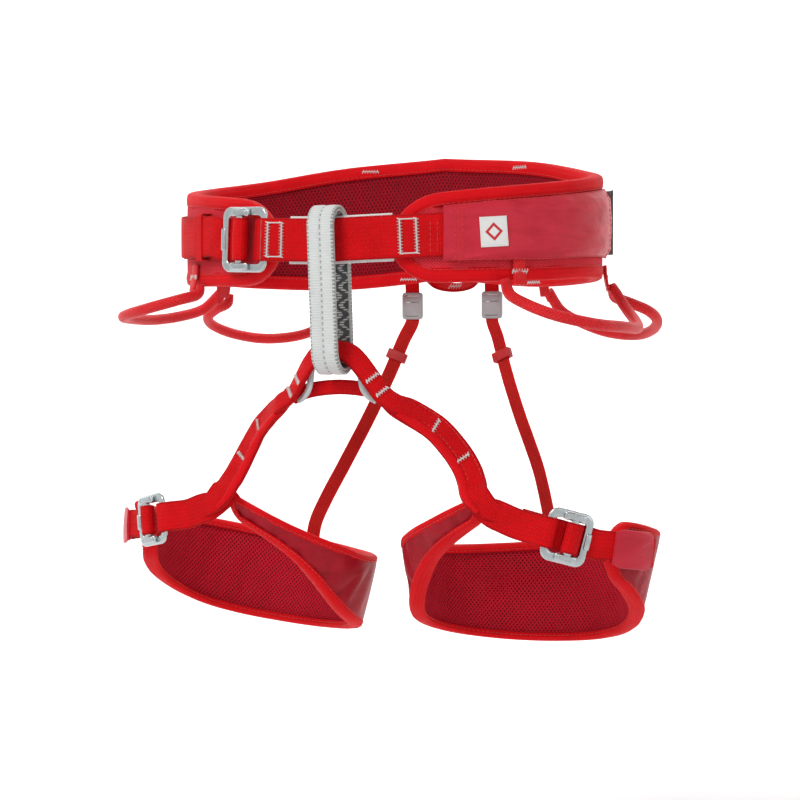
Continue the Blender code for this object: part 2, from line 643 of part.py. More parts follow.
def build_riser(word, side, mats):
    def at(rows):
        return [mirrored(Vector(p), side) for p in rows]

    back = Vector((0, 1, 0))
    hanger = [(p, back) for p in at([(31, 117, -12), (31, 119, -22), (31, 120.5, -31), (31, 121, -36)])]
    strap(f"riser_hanger_{word}", hanger, 11.0, 1.6, mats["riser"], steps=1)
    place = frame_at(at([(31, 121.4, -46.5)])[0], Vector((0, 0, -1)), back)
    plate(
        f"riser_buckle_{word}", (20.0, 15.5, 4.2), place, mats["grey_plastic"], 2.0,
        [(-6.3, 0, 3.6, 10.5), (6.3, 0, 3.6, 10.5)],
    )
    lever_place = place @ Matrix.Translation((-1.0, 0, 3.9))
    block(f"riser_lever_{word}", (13.0, 7.5, 2.6), lever_place, mats["grey_plastic"], 1.2)
    points = at(RISER)
    normals = [mirrored(Vector((0.1, 1, 0.25)), side)] * len(points)
    strap(f"riser_strap_{word}", list(zip(points, normals)), RISER_WIDTH, RISER_THICK, mats["riser"], steps=3)
    middle = (points[1] + points[2]) / 2
    slide = frame_at(middle, points[2] - points[1], normals[0])
    slider = block(f"riser_slider_{word}", (8.0, 15.0, 6.0), slide, mats["grey_plastic"], 1.5)
    cut_out(slider, (20.0, 11.4, 3.0), slide, mats["grey_plastic"])


# ---------------------------------------------------------------- the harness
def clear_scene():
    for obj in list(bpy.data.objects):
        bpy.data.objects.remove(obj)


def main():
    clear_scene()
    red = (0.78, 0.01, 0.015)
    mats = {
        "foam": material("foam", (0.2, 0.2, 0.2), 0.9),
        "lining": material("lining", (0.45, 0.01, 0.02), 0.9),
        "shell": material("shell", (0.72, 0.05, 0.08), 0.5),
        "binding": material("binding", red, 0.7),
        "webbing": material("webbing", red, 0.6),
        "elastic": material("elastic", (0.6, 0.02, 0.03), 0.8),
        "gear": material("gear", (0.8, 0.02, 0.03), 0.5),
        "riser": material("riser", (0.5, 0.02, 0.02), 0.8),
        "belay": material("belay", (0.75, 0.77, 0.76), 0.7),
        "guard": material("guard", (0.6, 0.63, 0.63), 0.4),
        "black": material("black", (0.02, 0.02, 0.02), 0.6),
        "grey_plastic": material("grey_plastic", (0.45, 0.46, 0.46), 0.45),
        "metal": material("metal", (0.75, 0.78, 0.78), 0.25, 1.0),
    }
    build_waist(mats)
    build_gear_loops(mats)
    build_belay_loop(mats)
    build_bridge(mats)
    for word, side in (("left", 1), ("right", -1)):
        build_leg(word, side, mats)
        build_riser(word, side, mats)


main()
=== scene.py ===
"""The looks of the climbing harness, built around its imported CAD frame.

Metres, +Z up; the front of the harness faces -Y and the wearer's left side is +X. Shapes are worked out in
millimetres from the same driving dimensions as the CAD part, and turned into metres by MM.
"""

import json
import math

import bmesh
import bpy
from mathutils import Matrix, Vector

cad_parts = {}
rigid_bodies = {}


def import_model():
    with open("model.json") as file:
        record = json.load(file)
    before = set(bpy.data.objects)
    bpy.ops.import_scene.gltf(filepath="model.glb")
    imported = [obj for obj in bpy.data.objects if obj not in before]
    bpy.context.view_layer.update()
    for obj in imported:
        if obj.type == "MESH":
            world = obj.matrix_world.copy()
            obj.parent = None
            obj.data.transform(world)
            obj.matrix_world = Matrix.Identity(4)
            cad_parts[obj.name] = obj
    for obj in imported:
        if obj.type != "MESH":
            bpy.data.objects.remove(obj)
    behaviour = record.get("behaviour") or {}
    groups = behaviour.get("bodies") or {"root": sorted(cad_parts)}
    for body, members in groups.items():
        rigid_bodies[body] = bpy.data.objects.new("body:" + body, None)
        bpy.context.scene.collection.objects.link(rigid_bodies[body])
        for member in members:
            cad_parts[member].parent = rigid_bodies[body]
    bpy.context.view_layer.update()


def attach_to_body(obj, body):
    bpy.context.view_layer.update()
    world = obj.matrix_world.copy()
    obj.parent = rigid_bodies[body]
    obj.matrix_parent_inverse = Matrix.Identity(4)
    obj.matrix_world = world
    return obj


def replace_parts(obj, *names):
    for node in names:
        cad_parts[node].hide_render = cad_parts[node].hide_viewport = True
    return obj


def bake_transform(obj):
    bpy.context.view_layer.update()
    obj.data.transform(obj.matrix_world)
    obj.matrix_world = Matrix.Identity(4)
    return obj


MM = 0.001
UP = Vector((0, 0, 1))
SIDES = (("left", 1), ("right", -1))

# ---------------------------------------------------------------- driving dimensions, as in the CAD part
WAIST_A = 139.5  # half the width and half the depth of the waist pad's inside
WAIST_B = 105.0
WAIST_START = -74.0  # degrees round from the wearer's left, by way of the back
WAIST_END = 254.0
WAIST_EDGES = [  # (degrees from the back, height of the upper edge, height of the lower edge)
    (0, 60, -28), (30, 54, -35), (60, 42, -35), (90, 33, -34),
    (120, 25, -38), (145, 19, -40), (165, 13, -41),
]
WAIST_TIP = 30.0  # length of the rounded ends
# (degrees from the back, height) of the middle of the load-bearing webbing.
WEBBING_LINE = [(0, 14), (60, 5), (90, 1), (120, -5), (150, -10), (180, -13)]
LEG_X = 101.0
LEG_Y = -4.0
LEG_A = 81.0  # half the width and half the depth of a leg pad's inside
LEG_B = 68.0
LEG_START = -34.0
LEG_END = 262.0
LEG_EDGES = [  # (degrees, height of the upper edge, height of the lower edge)
    (-34, -190, -224), (-18, -192, -235), (0, -196, -246), (45, -205, -268), (90, -214, -277),
    (135, -220, -276), (180, -219, -266), (200, -213, -254), (230, -199, -221), (262, -178, -194),
]
LEG_DROP = {1: 7.0, -1: 0.0}  # how much lower the lower edge hangs in its middle, by side
LEG_TAPER = 9.0  # how far the lower edge leans in
LEG_TIP_OUTER = 12.0
LEG_TIP_INNER = 7.0
LEG_ROLL = 3.0  # degrees about the line from fork to riser
HANG_FORK = Vector((91, -67, -184))  # the line that a leg loop hangs from
HANG_RISER = Vector((101, 74, -216))

PAD_INNER = -0.8  # faces of a pad at its rim, as distances out of its foam's inner face
PAD_OUTER = 5.8
EDGE_GAP = 2.1  # how far the pad ends inside the fold of its edge tape
TAPE_INNER = -2.9  # faces of the edge tape
TAPE_OUTER = 7.9
TAPE_WIDTH = 9.5
WAIST_WEB = 28.0
TIE_IN_WEB = 31.0
LEG_WEB = 20.0
WEB_THICK = 1.4
TIE_IN_LAYER = 8.3  # how far out of the pad's inner face each layer of webbing starts
MAIN_LAYER = 10.0
TAIL_LAYER = 15.6
TAIL_START = 234.5  # degrees round the belt where the loose end leaves the buckle
TAIL_RADIUS = 125.0
TAIL_TURN = 20.0
TAIL_HEIGHT = -7.0
FRONT_LAYER = 12.2
SLEEVE_LAYER = 12.0
WAIST_BUCKLE_ANGLE = 246.0
BELAY_WIDTH = 18.0
BELAY_TOP = 9.5
BELAY_BOTTOM = -99.5
BELAY_DEPTH = 30.0  # front to back, over the outer band
BELAY_Y = -116.0
BELAY_LEAN = 4.0  # how far its lower end hangs to the wearer's left
BELAY_OUTER_THICK = 1.9
BELAY_INNER_THICK = 1.5
RISER_WIDTH = 10.0
RISER_THICK = 1.5
GEAR_RADIUS = 3.8
FORK_ROUTE = [  # (angle, distance out, height) of the leg strap from its buckle to the fork
    (-79, 8.0, -194.5), (-86, 9.4, -190.5), (-93, 9.9, -186.5), (-99, 9.9, -181.5), (-102.5, 9.9, -177),
]
GEAR_FRONT = [(110, -80, -44.5), (119, -91, -50), (143, -93, -58), (167, -77, -63), (178, -48, -64),
              (178, -15, -64), (170, 12, -60), (158, 30, -52), (149, 35, -45.5)]
GEAR_REAR = [(146, 45, -45.5), (156, 48, -49.5), (167, 56, -55), (169, 70, -61), (160, 90, -67),
             (142, 108, -70), (118, 117, -67), (98, 114.5, -59), (87, 108, -51), (82, 102.5, -45)]
HAUL_LOOP = [((-18, 119.5, -17), (0, 1, 0)), ((-18.5, 123.5, -24), (-0.4, 1, -0.2)),
             ((-13, 127.5, -30.5), (-0.3, 1, -0.7)), ((0, 129, -33), (0, 1, -1)),
             ((13, 127.5, -30.5), (0.3, 1, -0.7)), ((18.5, 123.5, -24), (0.4, 1, -0.2)),
             ((18, 119.5, -17), (0, 1, 0))]
GUARD_BEHIND = 3.8  # millimetres from the middle of the arch to the middle of the wear guard
GUARD_STRAIGHT = 18.0  # half the length of its middle, behind the arch
GUARD_TURN = 8.0  # the length over which it comes inside the arch
FRONT_HANG = {1: 1.25, -1: 0.75}  # by side, how low the front gear loop hangs as a share of GEAR_FRONT
GEAR_TABS = {"front": (-38.5, 9.0), "mid": (16.0, 13.0), "rear": (58.0, 9.0)}  # (angle, width)
# (height, distance out) of every tab's middle line.
GEAR_TAB_ROUTE = [(-24.5, 8.8), (-27, 9.1), (-30, 9.2), (-34, 9.7), (-38.5, 10.6), (-42.0, 11.4)]
ARCH = [((-31, -104, -113), (-0.5, -0.8, 0.4)), ((-24, -107, -104), (-0.45, -0.8, 0.45)),
        ((-15, -111, -92), (-0.3, -0.85, 0.45)), ((-7, -113.5, -85.5), (-0.15, -0.9, 0.4)),
        ((3, -114.5, -84), (0, -0.9, 0.4)), ((13, -113.5, -85.5), (0.15, -0.9, 0.4)),
        ((20, -111, -92), (0.3, -0.85, 0.45)), ((28, -107, -104), (0.45, -0.8, 0.45)),
        ((34, -104, -113), (0.5, -0.8, 0.4))]
LOWER = [((35, -95.5, -114), (0.3, -1, -0.2)), ((22, -99.3, -109.5), (0.1, -1, -0.2)),
         ((2, -100.3, -107.5), (0, -1, -0.2)), ((-19, -99.3, -109.5), (-0.1, -1, -0.2)),
         ((-33, -95.5, -114), (-0.3, -1, -0.2))]
BRIDGE = [((40, -99, -119), (0.35, -0.85, 0.4)), ((50, -92, -125), (0.35, -0.85, 0.4)),
          ((63, -83, -135), (0.35, -0.85, 0.35)), ((74, -77, -149), (0.35, -0.85, 0.3)),
          ((81, -75.5, -160.5), (0.35, -0.85, 0.25)), ((85.5, -78.5, -169.5), (0.3, -0.9, 0.2))]
ARCH_END_LIFTS = (2.2, 0.6, -0.9)  # the arch's two ends lie on the bridge straps and sink into them
RISER = [(31.5, 121.2, -59.5), (37, 118, -72), (45, 112, -95), (58, 104, -127), (74, 95, -162),
         (84, 84, -187), (90, 76.5, -206), (92, 74.5, -224)]


# ---------------------------------------------------------------- maths
def table(rows, x, column=1):
    """A smooth curve through rows of (x, value, ...), level at both ends."""
    if x <= rows[0][0]:
        return rows[0][column]
    if x >= rows[-1][0]:
        return rows[-1][column]
    i = max(k for k in range(len(rows) - 1) if rows[k][0] <= x)
    x0, x1 = rows[i][0], rows[i + 1][0]
    y0, y1 = rows[i][column], rows[i + 1][column]
    before, after = rows[max(i - 1, 0)], rows[min(i + 2, len(rows) - 1)]
    m0 = (y1 - before[column]) / (x1 - before[0])
    m1 = (after[column] - y0) / (after[0] - x0)
    t, h = (x - x0) / (x1 - x0), x1 - x0
    return (
        (2 * t**3 - 3 * t**2 + 1) * y0 + (t**3 - 2 * t**2 + t) * h * m0
        + (3 * t**2 - 2 * t**3) * y1 + (t**3 - t**2) * h * m1
    )


def catmull(points, steps):
    """A smooth curve through the points, with a number of steps in each stretch."""
    found = []
    for i in range(len(points) - 1):
        p0, p1 = points[max(i - 1, 0)], points[i]
        p2, p3 = points[i + 1], points[min(i + 2, len(points) - 1)]
        for k in range(steps):
            t = k / steps
            found.append(
                0.5 * (2 * p1 + (p2 - p0) * t + (2 * p0 - 5 * p1 + 4 * p2 - p3) * t * t
                       + (3 * p1 - p0 - 3 * p2 + p3) * t**3)
            )
    return found + [points[-1]]


def mirrored(v, side):
    """A point or direction given for the wearer's left, moved to a side: 1 is left, -1 is right."""
    return Vector((v[0] * side, v[1], v[2]))


def ripple(x, y=0.0):
    """A gentle uneven wave from -1 to 1, the same on every run."""
    waves = ((x / 4.3 + y / 7.1), (x / 7.7 - y / 5.3 + 1.3), (x / 13.9 + y / 9.7 + 2.1))
    return sum(math.sin(w) for w in waves) / 3


def smooth_step(x):
    x = min(max(x, 0.0), 1.0)
    return x * x * (3 - 2 * x)


# ---------------------------------------------------------------- node materials
class Wire:
    """A number or colour on its way through a shader, added to and multiplied like a number."""

    def __init__(self, look, socket):
        self.look, self.socket = look, socket

    def calc(self, operation, other=0.0):
        return self.look.node("Math", {0: self, 1: other}, operation=operation)

    def __add__(self, other):
        return self.calc("ADD", other)

    def __sub__(self, other):
        return self.calc("SUBTRACT", other)

    def __mul__(self, other):
        return self.calc("MULTIPLY", other)

    def waves(self, period):
        """A wave from 0 to 1 of a period in metres."""
        return (self * (2 * math.pi / period)).calc("SINE") * 0.5 + 0.5

    def step(self, low, high):
        """Goes from 0 at low to 1 at high."""
        ends = {"Value": self, "From Min": low, "From Max": high}
        return self.look.node("MapRange", ends, interpolation_type="SMOOTHSTEP")

    def mix(self, a, b):
        """The colour a at 0, b at 1 and one between them elsewhere."""
        colours = {place: c if isinstance(c, Wire) else (*c, 1) for place, c in ((6, a), (7, b))}
        return self.look.node("Mix", {0: self, **colours}, 2, data_type="RGBA")


class Look:
    """A material being made, around one Principled shader."""

    def __init__(self, name, roughness, metallic=0.0, sheen=0.0, specular=0.5):
        self.material = bpy.data.materials.new(name)
        self.material.use_nodes = True
        self.tree = self.material.node_tree
        self.shader = self.tree.nodes["Principled BSDF"]
        for key, value in (
            ("Roughness", roughness), ("Metallic", metallic), ("Specular IOR Level", specular),
            ("Sheen Weight", sheen), ("Sheen Roughness", 0.45), ("Sheen Tint", (1.0, 0.45, 0.42, 1)),
        ):
            self.shader.inputs[key].default_value = value

    def node(self, kind, values=None, out=0, **settings):
        """A wire from a new node, whose inputs are set to values or fed by wires."""
        made = self.tree.nodes.new("ShaderNode" + kind)
        for key, value in settings.items():
            setattr(made, key, value)
        for key, value in (values or {}).items():
            if isinstance(value, Wire):
                self.tree.links.new(value.socket, made.inputs[key])
            else:
                made.inputs[key].default_value = value
        return Wire(self, made.outputs[out])

    def along_across(self):
        """Wires of the distance along a piece and across it, in metres."""
        along = self.node("SeparateXYZ", {0: self.node("UVMap", uv_map="UVMap")})
        return along, Wire(self, along.socket.node.outputs[1])

    def rim(self):
        """A wire of the distance from a band's edge, in millimetres."""
        return self.node("Attribute", out="Fac", attribute_name="rim")

    def noise(self, scale, detail=3.0, stretch=1.0, distortion=0.0):
        """Soft noise in space, around 0.5. stretch makes it finer upwards."""
        where = self.node("TexCoord", out="Object")
        where = self.node("Mapping", {"Vector": where, "Scale": (1, 1, stretch)})
        values = {"Vector": where, "Scale": scale, "Detail": detail, "Distortion": distortion}
        return self.node("TexNoise", values)

    def feed(self, key, wire):
        self.tree.links.new(wire.socket, self.shader.inputs[key])

    def dress(self, colour, height, depth, rough=None):
        """The finished material: its colour, a bump of a depth in metres and perhaps an uneven roughness."""
        self.feed("Base Color", colour)
        self.feed("Normal", self.node("Bump", {"Height": height, "Distance": depth, "Strength": 1.0}))
        if rough is not None:
            self.feed("Roughness", rough)
        return self.material


def woven(name, dark, light, rib=0.0016, cord=0.0026, sheen=0.02, depth=0.00035, roughness=0.6, edge=None):
    """Webbing: fine ribs across it in cords that run along it, with a selvedge at each edge."""
    look = Look(name, roughness, sheen=sheen, specular=0.1)
    along, across = look.along_across()
    cords = across.waves(cord)
    weave = ((along + cords * (rib * 0.5)).waves(rib) + 0.3) * (cords * 0.3 + 0.5)
    height = weave + look.noise(900, 1.0) * 0.35
    # Painted shade: the weave's grooves are coloured darker, mixed with random tone from the noise.
    groove_shade_and_tone = weave * 0.55 + look.noise(55) * 0.55
    near_edge = look.rim().step(1.6, 0.9)
    colour = (near_edge * 0.6).mix(groove_shade_and_tone.mix(dark, light), edge or dark)
    return look.dress(colour, height, depth, look.noise(120) * 0.25 + (roughness - 0.12))


def smooth_fabric(name, dark, light, sheen, roughness, creases):
    """Tightly woven nylon: a fine plain weave, soft creases and a bloom at glancing angles."""
    look = Look(name, roughness, sheen=sheen, specular=0.22)
    along, across = look.along_across()
    weave = along.waves(0.0011) * across.waves(0.0011)
    folds = look.noise(34.0, 2.5, 3.2, 0.8)
    # Painted shade and light: the colour darkens in the folds' hollows and lightens on their crests, and a
    # little between the threads.
    shade = folds * 0.8 + weave * 0.25
    return look.dress(shade.mix(dark, light), weave * 0.12 + folds * creases, 0.0004)


def perforated(name, hole, ground, light, pitch):
    """Spacer mesh: staggered holes between raised threads."""
    look = Look(name, 0.75, sheen=0.04, specular=0.12)
    along, across = look.along_across()
    lattice = (along + across * 0.62).waves(pitch) * (along - across * 0.62).waves(pitch)
    threads = lattice.step(0.75, 0.30)
    # Painted shade and light: the holes are coloured dark, and the threads are lit lighter in soft patches.
    lit = threads * (look.noise(30) * 0.9 + 0.5)
    height = threads + look.noise(700, 1.0) * 0.25
    return look.dress(threads.mix(hole, lit.mix(ground, light)), height, 0.0006)


def brushed_metal(name, tint, roughness):
    """Polished aluminium with fine scratches and slightly uneven gloss."""
    look = Look(name, roughness, metallic=1.0)
    scratches = look.noise(420.0, 4.0, 14)
    colour = look.noise(60).mix(tuple(c * 0.92 for c in tint), tint)
    return look.dress(colour, scratches, 0.00001, scratches * 0.12 + (roughness - 0.04))


def moulded(name, dark, light, roughness):
    """Injection-moulded plastic: fine spark-eroded grain with soft mottling."""
    look = Look(name, roughness)
    return look.dress(look.noise(90).mix(dark, light), look.noise(2600, 2.0), 0.00006)


def thread_material(name, dark, light):
    """Twisted sewing thread."""
    look = Look(name, 0.55, sheen=0.3)
    where = look.node("TexCoord", out="Object")
    twist = look.node("TexWave", {"Vector": where, "Scale": 900.0, "Distortion": 1.0}, "Fac")
    return look.dress(twist.mix(dark, light), twist, 0.0001)


def braided(name, dark, light):
    """A woven tubular sheath: two sets of strands wound opposite ways."""
    look = Look(name, 0.45, sheen=0.08, specular=0.3)
    along, across = look.along_across()
    weave = (along + across).waves(0.0026).calc("MAXIMUM", (along - across).waves(0.0026))
    shade = weave * 0.6 + look.noise(45) * 0.6
    return look.dress(shade.mix(dark, light), weave, 0.0005)


def belay_outer_material():
    """Pale webbing with two ribbed columns, a dashed line between them and dark stitched edges."""
    look = Look("belay_pale", 0.6, sheen=0.2, specular=0.35)
    along, across = look.along_across()
    off_centre = across.calc("ABSOLUTE")
    dashes = off_centre.step(0.0007, 0.0004) * along.waves(0.0036).step(0.42, 0.55)
    ribs = along.waves(0.0017) * off_centre.step(0.0008, 0.0016)
    stitched = look.rim().step(1.7, 1.2) * along.waves(0.0024).step(0.1, 0.5)
    pale = (ribs * 0.4 + look.noise(70) * 0.5).mix((0.58, 0.60, 0.59), (0.80, 0.82, 0.81))
    pale = (dashes * 0.75).mix(pale, (0.22, 0.26, 0.25))
    colour = (stitched * 0.7).mix(pale, (0.16, 0.20, 0.18))
    return look.dress(colour, ribs + across.waves(0.0014) * 0.3, 0.00025)


def belay_inner_material():
    """The inner band: a dark weave with a plain repeating wave in grey."""
    look = Look("belay_dark", 0.7, sheen=0.2, specular=0.3)
    along, across = look.along_across()
    band = (across + along.waves(0.012) * 0.007).waves(0.0075)
    marks = band.step(0.55, 0.7) * along.waves(0.0016).step(0.2, 0.5)
    inside = look.rim().step(0.9, 1.5)
    ground = look.noise(80).mix((0.045, 0.05, 0.05), (0.12, 0.13, 0.13))
    colour = inside.mix((0.5, 0.52, 0.5), (marks * inside).mix(ground, (0.62, 0.64, 0.63)))
    return look.dress(colour, along.waves(0.0017), 0.0003)


def printed_patch(name, ground, mark, reach):
    """A small woven label: a plain ground with a simple diamond in its middle."""
    look = Look(name, 0.55, sheen=0.2)
    along, across = look.along_across()
    away = along.calc("ABSOLUTE") + across.calc("ABSOLUTE")
    diamond = away.step(reach, reach * 0.93) * away.step(reach * 0.55, reach * 0.62)
    weave = along.waves(0.0009) * across.waves(0.0009)
    cloth = (weave * 0.5).mix(ground, tuple(c * 0.86 for c in ground))
    return look.dress(diamond.mix(cloth, mark), weave, 0.00012)


def make_materials():
    """The materials, by the short names that the pieces ask for."""
    return {
        "webbing": woven("webbing_red", (0.38, 0.001, 0.003), (0.86, 0.004, 0.008)),
        "riser": woven("riser_brick", (0.34, 0.006, 0.006), (0.62, 0.022, 0.018), roughness=0.75,
                       edge=(0.72, 0.01, 0.01)),
        "binding": woven("edge_tape", (0.52, 0.001, 0.004), (0.90, 0.006, 0.012), rib=0.0012, cord=0.0028,
                         depth=0.00022, sheen=0.05, edge=(0.8, 0.004, 0.008)),
        "shell": smooth_fabric("outer_nylon", (0.26, 0.001, 0.008), (0.52, 0.006, 0.022), 0.05, 0.42, 1.5),
        "sleeve": smooth_fabric("sleeve_nylon", (0.42, 0.004, 0.018), (0.78, 0.035, 0.065), 0.35, 0.40, 3.0),
        # Painted shade: the waist belt's lining is the leg loops' mesh in darker colours, for the shade
        # inside the belt.
        "lining": perforated("mesh_lining", (0.06, 0.001, 0.003), (0.17, 0.001, 0.006), (0.34, 0.005, 0.016),
                             0.0027),
        "leg_lining": perforated("leg_mesh", (0.12, 0.001, 0.004), (0.31, 0.002, 0.010), (0.54, 0.009, 0.026),
                                 0.0027),
        "spacer": perforated("fine_mesh", (0.42, 0.003, 0.010), (0.66, 0.012, 0.028), (0.84, 0.04, 0.06),
                             0.0019),
        "gear": braided("gear_sheath", (0.46, 0.001, 0.004), (0.90, 0.012, 0.018)),
        "metal": brushed_metal("aluminium", (0.60, 0.65, 0.66), 0.22),
        "grey_plastic": moulded("grey_plastic", (0.30, 0.32, 0.33), (0.43, 0.45, 0.46), 0.42),
        "red_plastic": moulded("red_plastic", (0.40, 0.004, 0.006), (0.58, 0.012, 0.014), 0.45),
        "guard": moulded("wear_guard", (0.40, 0.43, 0.44), (0.66, 0.69, 0.69), 0.22),
        "belay": belay_outer_material(),
        "belay_inner": belay_inner_material(),
        "sleeve_web": woven("pale_webbing", (0.66, 0.68, 0.66), (0.92, 0.93, 0.91), edge=(0.9, 0.9, 0.88)),
        "white_thread": thread_material("white_thread", (0.66, 0.64, 0.62), (0.95, 0.94, 0.92)),
        "pink_thread": thread_material("pink_thread", (0.75, 0.10, 0.10), (0.95, 0.35, 0.32)),
        "red_thread": thread_material("red_thread", (0.45, 0.004, 0.006), (0.95, 0.04, 0.04)),
        "patch": printed_patch("white_patch", (0.86, 0.86, 0.84), (0.60, 0.006, 0.012), 0.0062),
        "black": printed_patch("side_patch", (0.012, 0.012, 0.013), (0.28, 0.28, 0.29), 0.0085),
    }


# ---------------------------------------------------------------- bodies and the CAD nodes that pieces stand for
def attach(made, slot, body, *nodes):
    """Rides a piece on a body, with the CAD nodes that it stands for. Its material slot is not used."""
    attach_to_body(made, body)
    if nodes:
        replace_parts(made, *nodes)
    return made


def stretch(made, slot, bodies, start, end, *nodes):
    """Hides the CAD nodes that a piece stands for and bakes its placement into its mesh. The bodies and the
    two points in millimetres are not used.
    """
    if nodes:
        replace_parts(made, *nodes)
    start * MM
    end * MM
    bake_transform(made)


# ---------------------------------------------------------------- making meshes
def link(name, data):
    """A new object in the scene."""
    made = bpy.data.objects.new(name, data)
    bpy.context.scene.collection.objects.link(made)
    return made


def new_object(name, verts, faces, corners, mats, rims=None, picks=None):
    """A smooth mesh object from points in millimetres, with its UVs, distances to the edge and materials."""
    mesh = bpy.data.meshes.new(name)
    mesh.from_pydata([Vector(v) * MM for v in verts], [], faces)
    flat = [c * MM for face in corners for corner in face for c in corner]
    mesh.uv_layers.new(name="UVMap").data.foreach_set("uv", flat)
    if rims is not None:
        mesh.attributes.new("rim", "FLOAT", "POINT").data.foreach_set("value", rims)
    for mat in mats:
        mesh.materials.append(mat)
    if picks is not None:
        mesh.polygons.foreach_set("material_index", picks)
    bm = bmesh.new()
    bm.from_mesh(mesh)
    bmesh.ops.recalc_face_normals(bm, faces=bm.faces)
    bm.to_mesh(mesh)
    bm.free()
    mesh.shade_smooth()
    mesh.set_sharp_from_angle(angle=math.radians(55))
    return link(name, mesh)


def skin(name, rings, us, vs, mats, closed=False, rims=None, picks=None):
    """A solid through rings of points. us and vs are the distances along it and round it, in millimetres.

    vs has one value more than a ring has points. So has us, where the rings close on themselves.
    """
    n, count = len(rings[0]), len(rings)
    faces, corners, chosen = [], [], []
    for i in range(count if closed else count - 1):
        a, b = i * n, (i + 1) % count * n
        for k in range(n):
            m = (k + 1) % n
            faces.append((a + k, a + m, b + m, b + k))
            corners.append(((us[i], vs[k]), (us[i], vs[k + 1]), (us[i + 1], vs[k + 1]), (us[i + 1], vs[k])))
            chosen.append(picks[k] if picks else 0)
    if not closed:
        for first, u in ((0, us[0]), ((count - 1) * n, us[-1])):
            faces.append(tuple(first + k for k in range(n)))
            corners.append(tuple((u, vs[k]) for k in range(n)))
            chosen.append(0)
    verts = [p for ring in rings for p in ring]
    spread = None if rims is None else [r for _ in rings for r in rims]
    return new_object(name, verts, faces, corners, mats, spread, chosen)


def lengths(line, closed=False):
    """Distance along a line at each of its points, and once more round where it closes."""
    found = [0.0]
    for a, b in zip(line, line[1:] + line[:1]):
        found.append(found[-1] + (b - a).length)
    return found if closed else found[:-1]


def band_section(width, thick, crown, across):
    """(across, out) round a woven band's section: over its outer face, round one edge and back."""
    half, t = width / 2, thick / 2
    flat = half - t * 0.8
    over = [(-flat + 2 * flat * k / across) for k in range(across + 1)]
    top = [(a, t + crown * (1 - (a / half) ** 2)) for a in over]
    bottom = [(a, -t) for a in reversed(over)]
    turns = [math.radians(q) for q in (50, 0, -50)]
    right = [(flat + t * 0.8 * math.cos(turn), t * math.sin(turn)) for turn in turns]
    left = [(-a, -o) for a, o in right]
    return top + right + bottom + left


def smooth_route(route, steps, closed=False):
    """The points, directions along and outward normals of a route of (point, normal) pairs."""
    points = [Vector(p) for p, _ in route]
    normals = [Vector(n).normalized() for _, n in route]
    if closed:
        points, normals = points + points[:1], normals + normals[:1]
    line, facing = catmull(points, steps), catmull(normals, steps)
    if closed:
        line, facing = line[:-1], facing[:-1]
    found = []
    for i, p in enumerate(line):
        before = line[i - 1] if i or closed else line[0]
        after = line[(i + 1) % len(line)] if i + 1 < len(line) or closed else line[-1]
        along = (after - before).normalized()
        across = along.cross(facing[i]).normalized()
        found.append((p, along, across, across.cross(along).normalized()))
    return found


def ribbon(name, route, width, thick, mat, steps=3, closed=False, crown=0.15, sway=0.0, across=6, tuck=0.0,
           section=None, neck=None, taper=6.0):
    """Webbing along a route. sway is how unevenly it lies.

    tuck narrows both ends over the length taper, as where they are sewn in. neck is the (length, share) by
    which the far end is gathered narrower.
    """
    way = smooth_route(route, steps, closed)
    us = lengths([p for p, _, _, _ in way], closed)
    section = section or band_section(width, thick, crown, across)
    rings = []
    for (p, _, side, out), u in zip(way, us):
        to_end = min(u, us[-1] - u) if tuck else 1e9
        narrow = 1 - tuck * (1 - smooth_step(to_end / taper)) if tuck else 1.0
        if neck:
            narrow *= 1 - neck[1] * smooth_step((u - us[-1] + neck[0]) / neck[0])
        lift = sway * ripple(u * 1.7, width)
        rings.append([p + side * (a * narrow) + out * (o + lift) for a, o in section])
    vs = [a for a, _ in section] + [section[0][0]]
    rims = [width / 2 - abs(a) for a, _ in section]
    return skin(name, rings, us, vs, [mat], closed, rims)


def heading(line, i):
    """The direction of an open line at one of its points."""
    return (line[min(i + 1, len(line) - 1)] - line[max(i - 1, 0)]).normalized()


HOSE_STEPS = 6
HOSE_SIDES = 14
HOSE_END = 9.0  # the length over which a hose is drawn in at its ends


def cord_tube(name, points, radius, mat):
    """A tube with a sheath, without twist along a smooth curve, with its ends drawn in."""
    line = catmull([Vector(p) for p in points], HOSE_STEPS)
    us = lengths(line)
    turns = [2 * math.pi * k / HOSE_SIDES for k in range(HOSE_SIDES + 1)]
    rings, side = [], heading(line, 0).orthogonal()
    for i, (p, u) in enumerate(zip(line, us)):
        along = heading(line, i)
        side = (side - along * side.dot(along)).normalized()
        up = along.cross(side)
        reach = radius * (0.72 + 0.28 * smooth_step(min(u, us[-1] - u) / HOSE_END)) + 0.06 * ripple(u)
        rings.append([p + (side * math.cos(turn) + up * math.sin(turn)) * reach for turn in turns[:-1]])
    return skin(name, rings, us, [turn * radius for turn in turns], [mat])


